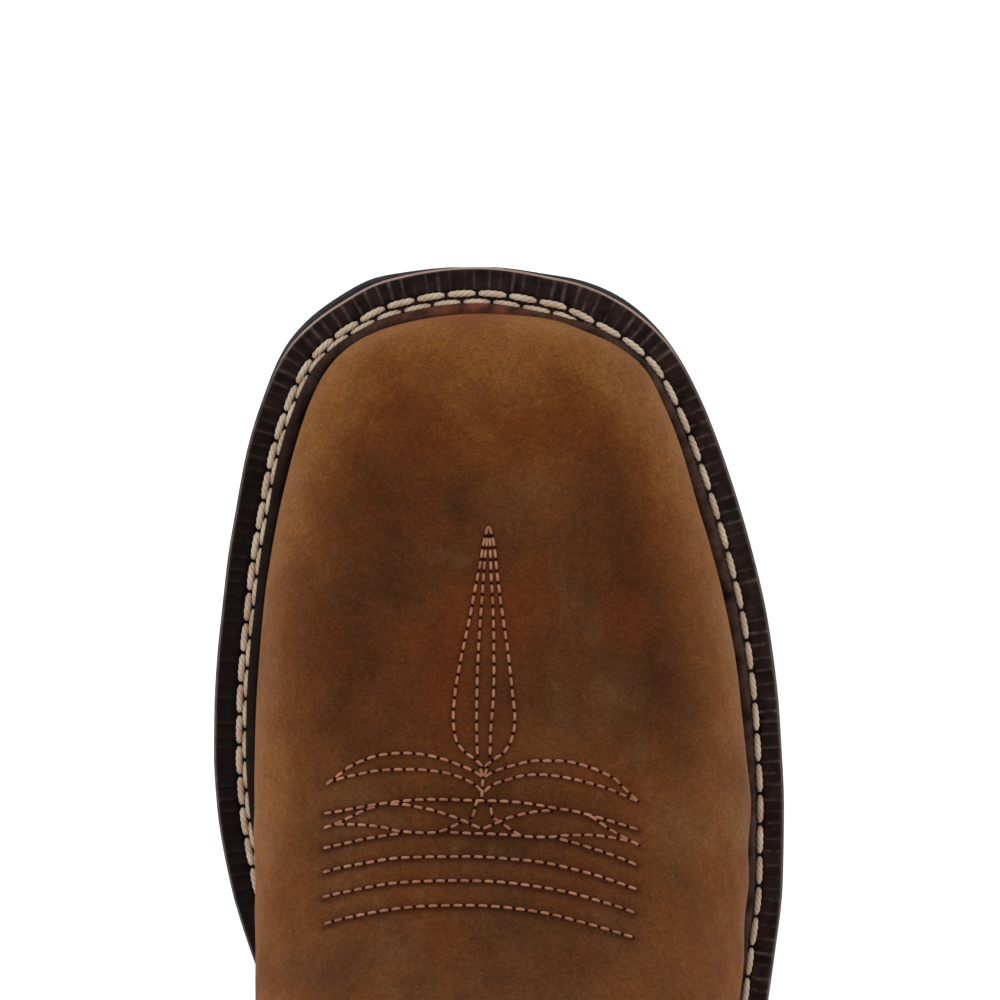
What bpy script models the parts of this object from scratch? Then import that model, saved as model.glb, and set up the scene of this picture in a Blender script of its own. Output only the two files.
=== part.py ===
"""Right western work boot with a broad square toe, as separate closed solids.

Metres, +Z up. The boot stands on z = 0 with its toe along +Y and its outer side along +X.
Plan places are distances back from the toe tip of the sole and out from its long axis.
"""

import math

import bmesh
import bpy
import numpy as np

# Sole
SOLE_LENGTH = 0.305
SOLE_WIDTH = 0.115
OUTSOLE_THICKNESS = 0.007
WAIST_THICKNESS = 0.005
MIDSOLE_THICKNESS = 0.0035
WELT_THICKNESS = 0.003
TOE_SPRING = 0.011
MIDSOLE_LIP = 0.0005
OUTSOLE_LIP = 0.0015
EDGE_ROUND = 0.001
GROOVE_WIDTH = 0.0032
GROOVE_DEPTH = 0.0022
GROOVE_PITCH = 0.0125
GROOVE_MARGIN = 0.012

# Heel
HEEL_HEIGHT = 0.033
HEEL_LENGTH = 0.075
HEEL_TAPER = 0.004
LIFT_HEIGHT = 0.008

# Welt
WELT_MARGIN = 0.0100
BEAD_WIDTH = 0.0032
BEAD_HEIGHT = 0.0028

# Upper
LEATHER_WIDTH = 0.0995
TOE_BAND = 0.0091
HEEL_BAND = 0.0019
INSTEP_HEIGHT = 0.112
BULGE_HEIGHT = 0.040
BOOT_HEIGHT = 0.318
FRONT_DIP = 0.030
BACK_DIP = 0.022
COLLAR_WIDTH = 0.099
SHAFT_WALL = 0.0019
OVERLAY = 0.0011
INSOLE_RISE = 0.0030
INSOLE_GAP = 0.0006

# Trim
SEAM_WIDTH = 0.0050
SEAM_RISE = 0.0016
SEAM_CLEAR = 0.0020
STRAP_WIDTH = 0.028
STRAP_THICKNESS = 0.0022
STRAP_LEG = 0.055
LOOP_RISE = 0.014
LOOP_BOW = 0.006
GAP = 0.0003

# Sole edge: share of SOLE_LENGTH back from the toe, shares of SOLE_WIDTH out from the axis
SOLE_COLUMNS = ("from_toe", "medial", "lateral")
SOLE_TABLE = (
    (0.0000, 0.043, -0.043),
    (0.0052, 0.165, 0.068),
    (0.0102, 0.214, 0.130),
    (0.0213, 0.270, 0.200),
    (0.0370, 0.330, 0.258),
    (0.0528, 0.370, 0.297),
    (0.0872, 0.415, 0.348),
    (0.1203, 0.442, 0.383),
    (0.1580, 0.461, 0.416),
    (0.1918, 0.476, 0.441),
    (0.2226, 0.485, 0.460),
    (0.2551, 0.494, 0.474),
    (0.2885, 0.499, 0.484),
    (0.3193, 0.500, 0.489),
    (0.3531, 0.495, 0.493),
    (0.4046, 0.472, 0.491),
    (0.4560, 0.430, 0.475),
    (0.5410, 0.326, 0.435),
    (0.6066, 0.277, 0.387),
    (0.6720, 0.270, 0.357),
    (0.7377, 0.291, 0.348),
    (0.8360, 0.322, 0.343),
    (0.9016, 0.308, 0.328),
    (0.9510, 0.248, 0.267),
    (0.9800, 0.163, 0.181),
    (1.0000, -0.009, 0.009),
)

# Margin of the welt outside the feather line: shares of WELT_MARGIN
MARGIN_COLUMNS = ("from_toe", "medial", "lateral")
MARGIN_TABLE = (
    (0.00, 1.06, 1.06),
    (0.15, 1.00, 0.94),
    (0.35, 0.98, 0.88),
    (0.47, 0.80, 0.76),
    (0.58, 0.48, 0.52),
    (1.00, 0.45, 0.45),
)

# How far the outsole stands out past the welt: shares of OUTSOLE_LIP
LIP_COLUMNS = ("from_toe", "medial", "lateral")
LIP_TABLE = (
    (0.000, 0.05, 0.05),
    (0.004, 0.38, 0.25),
    (0.012, 0.85, 0.58),
    (0.020, 0.92, 0.66),
    (0.035, 0.80, 0.45),
    (0.055, 0.45, 0.15),
    (0.090, 0.10, 0.08),
    (1.000, 0.10, 0.10),
)

# Foot part of the upper: share of its length back from the toe leather, shares of LEATHER_WIDTH out
# from the axis at the widest level and for the ridge, share of BULGE_HEIGHT, and section fullness
FOOT_COLUMNS = ("from_toe", "medial", "lateral", "ridge", "bulge", "fullness")
FOOT_TABLE = (
    (0.0000, 0.040, -0.040, -0.040, 0.20, 2.8),
    (0.0051, 0.180, 0.115, -0.040, 0.20, 2.8),
    (0.0102, 0.236, 0.158, -0.041, 0.20, 2.8),
    (0.0218, 0.304, 0.234, -0.042, 0.21, 2.8),
    (0.0384, 0.351, 0.291, -0.044, 0.22, 2.7),
    (0.0595, 0.383, 0.325, -0.046, 0.23, 2.7),
    (0.0939, 0.418, 0.365, -0.050, 0.25, 2.6),
    (0.1262, 0.442, 0.393, -0.054, 0.27, 2.5),
    (0.1640, 0.463, 0.427, -0.058, 0.29, 2.4),
    (0.1918, 0.475, 0.448, -0.062, 0.31, 2.4),
    (0.2337, 0.486, 0.472, -0.066, 0.34, 2.3),
    (0.2752, 0.493, 0.485, -0.070, 0.38, 2.25),
    (0.3490, 0.496, 0.502, -0.070, 0.48, 2.2),
    (0.4190, 0.495, 0.502, -0.062, 0.62, 2.1),
    (0.4710, 0.495, 0.491, -0.050, 0.76, 2.0),
    (0.5270, 0.482, 0.462, -0.036, 0.90, 1.95),
    (0.6120, 0.437, 0.427, -0.015, 1.00, 1.9),
    (0.7140, 0.389, 0.400, 0.000, 0.90, 1.9),
    (0.8160, 0.362, 0.378, 0.008, 0.66, 1.9),
    (0.8840, 0.345, 0.362, 0.010, 0.54, 1.9),
    (0.9390, 0.296, 0.315, 0.010, 0.50, 1.9),
    (0.9800, 0.190, 0.210, 0.010, 0.50, 1.9),
    (1.0000, -0.010, 0.010, 0.010, 0.50, 1.9),
)

# Ridge of the toe, vamp and instep: height over the feather line as a share of INSTEP_HEIGHT
RIDGE_COLUMNS = ("from_toe", "height")
RIDGE_TABLE = (
    (0.0000, 0.0714),
    (0.0020, 0.125),
    (0.0070, 0.176),
    (0.0167, 0.218),
    (0.0337, 0.251),
    (0.0575, 0.275),
    (0.1050, 0.305),
    (0.1730, 0.343),
    (0.2410, 0.388),
    (0.3090, 0.445),
    (0.3770, 0.517),
    (0.4450, 0.609),
    (0.4960, 0.700),
    (0.5410, 0.806),
    (0.5750, 0.904),
    (0.5990, 1.000),
    (0.6120, 1.100),
)

# Shaft: share of the top level, front as a share of the leather length, width over COLLAR_WIDTH
SHAFT_COLUMNS = ("level", "front", "width")
SHAFT_TABLE = (
    (0.200, 0.5000, 0.800),
    (0.368, 0.6000, 0.755),
    (0.478, 0.6160, 0.770),
    (0.588, 0.6170, 0.815),
    (0.735, 0.6020, 0.895),
    (1.000, 0.5510, 1.000),
)

# Back line of heel and shaft
BACK_COLUMNS = ("level", "from_toe")
BACK_TABLE = (
    (0.0000, 0.9915),
    (0.0735, 1.0000),
    (0.1650, 0.9935),
    (0.2570, 0.9830),
    (0.3680, 0.9770),
    (0.4780, 0.9793),
    (0.7350, 0.9946),
    (1.0000, 1.0080),
)

SEAM_FROM_TOE = 0.775
SEAM_START = 0.405

# Top line of vamp and counter: share of the way round from front to back, share of INSTEP_HEIGHT
VAMP_COLUMNS = ("round", "height")
VAMP_TABLE = (
    (0.00, 1.070),
    (0.05, 1.010),
    (0.12, 0.800),
    (0.22, 0.560),
    (0.36, 0.430),
    (0.50, SEAM_START),
    (0.64, 0.440),
    (0.80, 0.590),
    (0.93, 0.700),
    (1.00, 0.720),
)

FLAT_FROM_TOE = (0.20, 0.40)
ARCH_END = 0.76
SHAFT_BLEND = (0.20, 0.46)
SHAFT_SQUARENESS = 2.25
SHAFT_SHIFT = 0.0010
LEATHER_LENGTH = SOLE_LENGTH - TOE_BAND - HEEL_BAND
UPPER_WALL = SHAFT_WALL + OVERLAY

OUTLINE_POINTS = 44
FRONT_COLUMNS = 18
HEEL_COLUMNS = 14
FOOT_ROWS = 15
SHAFT_ROWS = 8
STRAP_ROWS = 4
FINE = 400


def column(names, table, name):
    """One named column of a table as an array."""
    return np.array([row[names.index(name)] for row in table])


def smoothstep(low, high, value):
    """0 below low, 1 above high, and smooth between."""
    share = np.clip((value - low) / (high - low), 0, 1)
    return share * share * (3 - 2 * share)


def smooth_curve(xs, ys, at):
    """A smooth curve through the points that never overshoots them."""
    steps = np.diff(xs)
    slopes = np.diff(ys) / steps
    tangents = np.zeros(len(xs))
    tangents[0] = slopes[0]
    tangents[-1] = slopes[-1]
    same = slopes[:-1] * slopes[1:] > 0
    before, after = slopes[:-1][same], slopes[1:][same]
    weight_a = 2 * steps[1:][same] + steps[:-1][same]
    weight_b = steps[1:][same] + 2 * steps[:-1][same]
    tangents[1:-1][same] = (weight_a + weight_b) / (weight_a / before + weight_b / after)
    at = np.clip(at, xs[0], xs[-1])
    cell = np.clip(np.searchsorted(xs, at) - 1, 0, len(steps) - 1)
    width = steps[cell]
    t = (at - xs[cell]) / width
    return (
        (1 + 2 * t) * (1 - t) ** 2 * ys[cell]
        + t * (1 - t) ** 2 * width * tangents[cell]
        + t * t * (3 - 2 * t) * ys[cell + 1]
        + t * t * (t - 1) * width * tangents[cell + 1]
    )


def turn(share):
    """The angle whose cosine runs evenly with a share along the foot, so that round ends stay round."""
    return np.arccos(1 - 2 * np.clip(share, 0, 1))


def along_foot(names, table, name, share):
    """A column read at shares back from the toe."""
    return smooth_curve(turn(column(names, table, "from_toe")), column(names, table, name), turn(share))


def arch_share(share):
    """Rise of the arch from the flat forefoot, 0, to the heel seat, 1."""
    along = np.clip((share - FLAT_FROM_TOE[1]) / (ARCH_END - FLAT_FROM_TOE[1]), 0, 1)
    return (1 - np.cos(math.pi * along)) / 2


def ground(back):
    """Underside of the outsole, by distance back from the toe tip."""
    share = back / SOLE_LENGTH
    toe = TOE_SPRING * np.clip(1 - share / FLAT_FROM_TOE[0], 0, 1) ** 2
    return toe + (HEEL_HEIGHT + GAP) * arch_share(share)


def outsole_top(back):
    thinner = (OUTSOLE_THICKNESS - WAIST_THICKNESS) * arch_share(back / SOLE_LENGTH)
    return ground(back) + OUTSOLE_THICKNESS - thinner


def midsole_bottom(back):
    return outsole_top(back) + GAP


def midsole_top(back):
    return midsole_bottom(back) + MIDSOLE_THICKNESS


def welt_bottom(back):
    return midsole_top(back) + GAP


def welt_top(back):
    return welt_bottom(back) + WELT_THICKNESS


def feather(back):
    """Height of the upper's lower edge."""
    return welt_top(back) + GAP


def closed_loop(lateral, medial):
    """Both sides, each from toe to heel, as one loop from the toe round the outer side."""
    return np.concatenate([lateral, medial[-2:0:-1]])


def resample(points, shares):
    """Points at shares of the arc length of a line."""
    steps = np.linalg.norm(np.diff(points, axis=0), axis=1)
    run = np.concatenate([[0], np.cumsum(steps)])
    return np.stack([np.interp(shares * run[-1], run, points[:, i]) for i in range(points.shape[1])], axis=1)


def outward(loop):
    """Unit plan directions out of a closed loop that runs toe, outer side, heel, inner side."""
    ahead = np.roll(loop, -1, axis=0) - np.roll(loop, 1, axis=0)
    across = np.stack([-ahead[:, 1], ahead[:, 0]], axis=1)
    return across / np.linalg.norm(across, axis=1, keepdims=True)


def grown(loop, distance):
    """The loop moved out by a distance, or by one for each point."""
    return loop + outward(loop) * np.reshape(distance, (-1, 1))


def sole_sides():
    """Fine lateral and medial edges of the welt as (out, back) points, toe to heel."""
    share = (1 - np.cos(np.linspace(0, math.pi, FINE))) / 2
    back = share * SOLE_LENGTH
    lateral = along_foot(SOLE_COLUMNS, SOLE_TABLE, "lateral", share) * SOLE_WIDTH
    medial = -along_foot(SOLE_COLUMNS, SOLE_TABLE, "medial", share) * SOLE_WIDTH
    return np.stack([lateral, -back], axis=1), np.stack([medial, -back], axis=1)


def by_side(loop, names, table):
    """A table's medial or lateral value at each point of a loop, blended over the two ends."""
    share = -loop[:, 1] / SOLE_LENGTH
    lateral = along_foot(names, table, "lateral", share)
    medial = along_foot(names, table, "medial", share)
    side = smoothstep(-0.1, 0.1, loop[:, 0] / SOLE_WIDTH)
    return medial + (lateral - medial) * side


def split(loop):
    """The lateral and medial halves of a loop, each from toe to heel."""
    half = len(loop) // 2
    return loop[: half + 1], np.concatenate([loop[:1], loop[:half - 1:-1]])


SOLE_SIDES = sole_sides()
SOLE_LOOP = closed_loop(*SOLE_SIDES)
FEATHER_LOOP = grown(SOLE_LOOP, -WELT_MARGIN * by_side(SOLE_LOOP, MARGIN_COLUMNS, MARGIN_TABLE))
FEATHER_SIDES = split(FEATHER_LOOP)
TOP_LEVEL = BOOT_HEIGHT - feather(np.array(SOLE_LENGTH))
FEATHER_TIP = -FEATHER_LOOP[0, 1]


def feather_out(side, share):
    """How far out the feather line is, at shares of its own length."""
    line = FEATHER_SIDES[side]
    start, end = line[0, 1], line[-1, 1]
    return np.interp(turn(share), turn((line[:, 1] - start) / (end - start)), line[:, 0])


def ridge_height(share):
    """Height of the ridge over the feather line, rising without end behind the throat."""
    last, before = RIDGE_TABLE[-1], RIDGE_TABLE[-2]
    slope = 2.5 * (last[1] - before[1]) / (last[0] - before[0])
    inside = along_foot(RIDGE_COLUMNS, RIDGE_TABLE, "height", np.minimum(share, last[0]))
    return INSTEP_HEIGHT * (inside + slope * np.clip(share - last[0], 0, None))


def front_share(level):
    """Where the front of the upper is at a level, as a share of the leather length."""
    shares = RIDGE_TABLE[-1][0] * (1 - np.cos(np.linspace(0, math.pi / 2, FINE)))
    heights = ridge_height(shares)
    ridge = np.interp(level, heights, shares)
    shaft = smooth_curve(
        column(SHAFT_COLUMNS, SHAFT_TABLE, "level"),
        column(SHAFT_COLUMNS, SHAFT_TABLE, "front"),
        level / TOP_LEVEL,
    )
    return ridge + (shaft - ridge) * smoothstep(0.9 * INSTEP_HEIGHT, 1.2 * INSTEP_HEIGHT, level)


def back_share(level):
    return smooth_curve(
        column(BACK_COLUMNS, BACK_TABLE, "level"),
        column(BACK_COLUMNS, BACK_TABLE, "from_toe"),
        level / TOP_LEVEL,
    )


def foot_contour(level, side):
    """Plan line of the foot part at one level, toe to heel, on the lateral (0) or medial (1) side."""
    tip_bulge = BULGE_HEIGHT * FOOT_TABLE[0][FOOT_COLUMNS.index("bulge")]
    tuck = (np.clip(1 - level / tip_bulge, 0, 1)) ** 2
    front = front_share(max(level, tip_bulge)) + tuck * (FEATHER_TIP - TOE_BAND) / LEATHER_LENGTH
    back = back_share(level)
    share = front + (back - front) * (1 - np.cos(np.linspace(0, math.pi, FINE))) / 2
    station = share + (1 - back) * smoothstep(0.7, 1.0, share)
    if tuck > 0:
        station = station - front * (1 - smoothstep(0, 0.15, share))
    sign = (1, -1)[side]
    name = ("lateral", "medial")[side]
    widest = sign * LEATHER_WIDTH * along_foot(FOOT_COLUMNS, FOOT_TABLE, name, station)
    centre = LEATHER_WIDTH * along_foot(FOOT_COLUMNS, FOOT_TABLE, "ridge", station)
    bulge = BULGE_HEIGHT * along_foot(FOOT_COLUMNS, FOOT_TABLE, "bulge", station)
    full = along_foot(FOOT_COLUMNS, FOOT_TABLE, "fullness", station)
    top = ridge_height(share)
    rise = np.clip((level - bulge) / np.maximum(top - bulge, 1e-5), 0, 1)
    round_in = (1 - rise**full) ** (1 / full)
    over = centre + (widest - centre) * round_in
    under = widest - (widest - feather_out(side, station)) * np.clip(1 - level / bulge, 0, 1) ** 2
    out = np.where(level < bulge, under, over)
    return np.stack([out, -(TOE_BAND + share * LEATHER_LENGTH)], axis=1)


def shaft_contour(level, side):
    """Plan line of the shaft's oval at one level, front to back, on one side."""
    front, back = front_share(level), back_share(level)
    width = COLLAR_WIDTH * smooth_curve(
        column(SHAFT_COLUMNS, SHAFT_TABLE, "level"),
        column(SHAFT_COLUMNS, SHAFT_TABLE, "width"),
        level / TOP_LEVEL,
    )
    angle = np.linspace(0, math.pi, FINE)
    power = 2 / SHAFT_SQUARENESS
    out = (1, -1)[side] * width / 2 * np.sin(angle) ** power + SHAFT_SHIFT
    along = (1 - np.sign(np.cos(angle)) * np.abs(np.cos(angle)) ** power) / 2
    return np.stack([out, -(TOE_BAND + (front + (back - front) * along) * LEATHER_LENGTH)], axis=1)


def arc_shares(points):
    """Share of a line's length at each of its points."""
    run = np.concatenate([[0], np.cumsum(np.linalg.norm(np.diff(points, axis=0), axis=1))])
    return run / run[-1]


def contour(level, shares):
    """Closed plan loop of the upper at a level, at shares round each side from front to back.

    The share of one half is the side seam, which stands straight above the vamp line.
    """
    blend = smoothstep(SHAFT_BLEND[0], SHAFT_BLEND[1], level / TOP_LEVEL)
    straight = smoothstep(0, SEAM_START * INSTEP_HEIGHT, level)
    even = np.linspace(0, 1, FINE)
    sides = []
    for side in (0, 1):
        foot = resample(foot_contour(level, side), even)
        oval = resample(shaft_contour(level, side), even)
        line = foot + (oval - foot) * blend
        run = arc_shares(line)
        upright = np.interp(SEAM_FROM_TOE * SOLE_LENGTH, -line[:, 1], run)
        seam = 0.5 + (upright - 0.5) * straight
        sides.append(resample(line, np.interp(shares, (0, 0.5, 1), (0, seam, 1))))
    return closed_loop(*sides)


def round_shares():
    """Shares round one side: closer together at toe and heel, with columns for the seam and strap."""
    low = contour(TOP_LEVEL, np.linspace(0, 1, FINE))
    side_length = np.linalg.norm(np.diff(low[:FINE], axis=0), axis=1).sum()
    strap = STRAP_WIDTH / 2 / side_length
    seam = SEAM_WIDTH / 2 / side_length
    even = np.linspace(0, 1, FRONT_COLUMNS)
    front = (0.5 - strap) * (0.55 * even + 0.45 * even**2)
    even = np.linspace(1, 0, HEEL_COLUMNS)
    back = 1 - (0.5 - strap) * (0.7 * even + 0.3 * even**2)
    middle = 0.5 + np.array([-(strap + seam) / 2, -seam, seam, (strap + seam) / 2])
    return np.concatenate([front, middle, back])


def loop_values(shares, values):
    """Values given at shares round one side, laid out round the whole loop."""
    return np.concatenate([values, values[-2:0:-1]])


def collar_height(shares):
    """Height of the scalloped top edge: high at the sides, dipped at the front and back."""
    wave = (0.5 + 0.5 * np.cos(2 * math.pi * shares)) ** 1.4
    dip = np.where(shares < 0.5, FRONT_DIP, BACK_DIP)
    return BOOT_HEIGHT - dip * wave


class Skin:
    """Outer surface of the upper as rows of points, with the row at the vamp and counter line marked."""

    def __init__(self):
        self.shares = round_shares()
        low = np.linspace(0, 0.25 * TOP_LEVEL, 241)
        high = np.linspace(0.25 * TOP_LEVEL, 1.2 * TOP_LEVEL, 140)
        self.levels = np.concatenate([low, high[1:]])
        self.plans = np.stack([contour(level, self.shares) for level in self.levels])
        self.line_row = FOOT_ROWS
        self.rows = self.make_rows()
        self.normals = self.make_normals()

    def place(self, column_index, levels):
        plan = self.plans[:, column_index]
        out = np.interp(levels, self.levels, plan[:, 0])
        along = np.interp(levels, self.levels, plan[:, 1])
        return np.stack([out, along, feather(-along) + levels], axis=1)

    def make_rows(self):
        line = loop_values(
            self.shares,
            INSTEP_HEIGHT
            * smooth_curve(
                column(VAMP_COLUMNS, VAMP_TABLE, "round"),
                column(VAMP_COLUMNS, VAMP_TABLE, "height"),
                self.shares,
            ),
        )
        top = loop_values(self.shares, collar_height(self.shares))
        columns = []
        for i in range(len(line)):
            fine = np.linspace(0, line[i], FINE)
            points = self.place(i, fine)
            even = np.linspace(0, 1, FOOT_ROWS + 1)
            foot = resample(points, 0.5 * even + 0.5 * even**2)
            whole = np.linspace(line[i], 1.15 * TOP_LEVEL, FINE)
            heights = self.place(i, whole)[:, 2]
            top_level = np.interp(top[i], heights, whole)
            leg = np.interp(top[i] - STRAP_LEG, heights, whole)
            shaft = np.concatenate([
                np.linspace(line[i] + SEAM_CLEAR, leg - SEAM_CLEAR, SHAFT_ROWS),
                np.linspace(leg, top_level, STRAP_ROWS),
            ])
            columns.append(np.concatenate([foot, self.place(i, shaft)]))
        return np.stack(columns, axis=1)

    def make_normals(self):
        rows = self.rows
        around = np.roll(rows, -1, axis=1) - np.roll(rows, 1, axis=1)
        up = np.gradient(rows, axis=0)
        normals = np.cross(up, around)
        normals[0, :, 2] = 0
        normals /= np.linalg.norm(normals, axis=2, keepdims=True)
        return normals

    def at(self, first, last, offset):
        """Rows first to last moved out along the surface."""
        return self.rows[first:last] + self.normals[first:last] * offset


def principled(name, colour, roughness, metallic=0.0):
    material = bpy.data.materials.new(name)
    material.use_nodes = True
    shader = material.node_tree.nodes["Principled BSDF"]
    shader.inputs["Base Color"].default_value = (*colour, 1)
    shader.inputs["Roughness"].default_value = roughness
    shader.inputs["Metallic"].default_value = metallic
    return material


def add_object(name, points, faces, material, parent):
    """A mesh object from points and faces, merged where points meet, facing out."""
    mesh = bpy.data.meshes.new(name)
    mesh.from_pydata([tuple(point) for point in points], [], faces)
    work = bmesh.new()
    work.from_mesh(mesh)
    bmesh.ops.remove_doubles(work, verts=work.verts, dist=1e-6)
    bmesh.ops.recalc_face_normals(work, faces=work.faces)
    work.to_mesh(mesh)
    work.free()
    mesh.materials.append(material)
    mesh.shade_smooth()
    mesh.set_sharp_from_angle(angle=math.radians(40))
    thing = bpy.data.objects.new(name, mesh)
    thing.parent = parent
    bpy.context.scene.collection.objects.link(thing)
    return thing


def ring_faces(rings, count, wrap):
    """Quads between rings of the same number of points, each closed on itself."""
    faces = []
    for ring in range(rings if wrap else rings - 1):
        a = ring * count
        b = (ring + 1) % rings * count
        faces += [(a + i, a + (i + 1) % count, b + (i + 1) % count, b + i) for i in range(count)]
    return faces


def tube_solid(name, rings, material, parent):
    """A solid ring: its cross-section's rings one after another, the last joined to the first."""
    points = np.concatenate(rings)
    return add_object(name, points, ring_faces(len(rings), len(rings[0]), True), material, parent)


def slab_solid(name, rings, material, parent):
    """A slab from its bottom loop to its top loop, closed by strips from side to side."""
    count = len(rings[0])
    faces = ring_faces(len(rings), count, False)
    for start in (0, (len(rings) - 1) * count):
        for i in range(count // 2):
            strip = [start + i, start + i + 1, start + (count - i - 1) % count, start + (count - i) % count]
            faces.append(tuple(dict.fromkeys(strip)))
    return add_object(name, np.concatenate(rings), faces, material, parent)


def sheet_solid(name, top, bottom, material, parent):
    """A thin solid between two grids of points, closed round its four edges."""
    rows, columns = top.shape[:2]
    size = rows * columns

    def index(layer, row, col):
        return layer * size + row * columns + col

    faces = []
    for layer in (0, 1):
        for r in range(rows - 1):
            for c in range(columns - 1):
                faces.append(tuple(index(layer, *at) for at in ((r, c), (r, c + 1), (r + 1, c + 1), (r + 1, c))))
    edge = [(0, c) for c in range(columns)] + [(r, columns - 1) for r in range(1, rows)]
    edge += [(rows - 1, c) for c in range(columns - 2, -1, -1)] + [(r, 0) for r in range(rows - 2, 0, -1)]
    for here, there in zip(edge, edge[1:] + edge[:1]):
        faces.append((index(0, *here), index(0, *there), index(1, *there), index(1, *here)))
    points = np.concatenate([top.reshape(-1, 3), bottom.reshape(-1, 3)])
    return add_object(name, points, faces, material, parent)


def raised(loop, height, extra=0.0):
    """A plan loop lifted to a height that follows its distance back from the toe."""
    return np.column_stack([loop, height(-loop[:, 1]) + extra])


def station_loop(loop):
    """The loop at facing points of both sides: close together at toe and heel, apart between."""
    front, end = loop[0, 1], loop[len(loop) // 2, 1]
    along = front + (end - front) * (1 - np.cos(np.linspace(0, math.pi, OUTLINE_POINTS + 1))) / 2
    sides = [np.column_stack([np.interp(-along, -side[:, 1], side[:, 0]), along]) for side in split(loop)]
    return closed_loop(*sides)


def cut_grooves(thing, places, bottom, loop, parent):
    """Straight grooves across the underside, each kept inside the edge by the groove margin."""
    lateral, medial = split(loop)
    points, faces = [], []
    for back in places:
        outer = np.interp(back, -lateral[:, 1], lateral[:, 0]) - GROOVE_MARGIN
        inner = np.interp(back, -medial[:, 1], medial[:, 0]) + GROOVE_MARGIN
        roof = bottom(np.array(back)) + GROOVE_DEPTH
        start = len(points)
        for z in (roof - 4 * GROOVE_DEPTH, roof):
            for x, side in ((inner, -1), (outer, -1), (outer, 1), (inner, 1)):
                points.append((x, -back + side * GROOVE_WIDTH / 2, z))
        box = ((0, 1, 2, 3), (4, 5, 6, 7), (0, 1, 5, 4), (1, 2, 6, 5), (2, 3, 7, 6), (3, 0, 4, 7))
        faces += [tuple(start + i for i in face) for face in box]
    cutter = add_object(thing.name + "_grooves", points, faces, thing.data.materials[0], parent)
    cutter.hide_render = True
    cutter.display_type = "WIRE"
    cut = thing.modifiers.new("grooves", "BOOLEAN")
    cut.operation = "DIFFERENCE"
    cut.solver = "EXACT"
    cut.object = cutter


def make_outsole(parent):
    rubber = principled("outsole_rubber", (0.020, 0.020, 0.023), 0.6)
    lip = MIDSOLE_LIP + OUTSOLE_LIP * by_side(SOLE_LOOP, LIP_COLUMNS, LIP_TABLE)
    edge = station_loop(grown(SOLE_LOOP, lip))
    inner = station_loop(grown(edge, -EDGE_ROUND))
    rings = [
        raised(inner, ground),
        raised(edge, ground, EDGE_ROUND),
        raised(edge, outsole_top, -EDGE_ROUND / 2),
        raised(station_loop(grown(edge, -EDGE_ROUND / 2)), outsole_top),
    ]
    outsole = slab_solid("outsole", rings, rubber, parent)
    first = SOLE_LENGTH * FLAT_FROM_TOE[0] / 2
    count = int((SOLE_LENGTH * FLAT_FROM_TOE[1] - first) / GROOVE_PITCH)
    places = [first + GROOVE_PITCH * i for i in range(count + 1)]
    cut_grooves(outsole, places, ground, SOLE_LOOP, parent)


def make_midsole(parent):
    fibre = principled("midsole_leather", (0.30, 0.13, 0.09), 0.65)
    edge = station_loop(grown(SOLE_LOOP, MIDSOLE_LIP))
    slab_solid("midsole", [raised(edge, midsole_bottom), raised(edge, midsole_top)], fibre, parent)


def heel_loop(inset):
    """Plan loop of the heel behind its breast, moved in by a distance."""
    loop = grown(SOLE_LOOP, -inset)
    breast = -(SOLE_LENGTH - HEEL_LENGTH)
    sides = []
    for side in split(loop):
        start = np.interp(-breast, -side[:, 1], side[:, 0])
        behind = side[side[:, 1] < breast - 1e-4]
        line = np.concatenate([[[start, breast]], behind])
        even = np.linspace(0, 1, OUTLINE_POINTS // 2)
        sides.append(resample(line, 0.6 * even + 0.4 * np.sin(even * math.pi / 2)))
    return np.concatenate([sides[0], sides[1][-2::-1]])


def heel_solid(name, bottom, top, material, parent):
    """A slice of the heel between two heights, drawn in towards the ground."""
    rings = []
    for z in (bottom, top):
        loop = heel_loop(HEEL_TAPER * (1 - z / HEEL_HEIGHT))
        rings.append(np.column_stack([loop, np.full(len(loop), z)]))
    count = len(rings[0])
    faces = ring_faces(2, count, False)
    for start in (0, count):
        for i in range(count // 2):
            strip = [start + i, start + i + 1, start + count - i - 2, start + count - i - 1]
            faces.append(tuple(dict.fromkeys(strip)))
    return add_object(name, np.concatenate(rings), faces, material, parent)


def make_heel(parent):
    stack = principled("heel_stack", (0.045, 0.028, 0.020), 0.55)
    rubber = principled("lift_rubber", (0.018, 0.018, 0.020), 0.65)
    heel_solid("heel_block", LIFT_HEIGHT + GAP, HEEL_HEIGHT, stack, parent)
    lift = heel_solid("heel_lift", 0, LIFT_HEIGHT, rubber, parent)
    breast = SOLE_LENGTH - HEEL_LENGTH
    places = [breast + GROOVE_PITCH * (i + 1) for i in range(int(0.6 * HEEL_LENGTH / GROOVE_PITCH))]
    cut_grooves(lift, places, np.zeros_like, SOLE_LOOP, parent)


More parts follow.
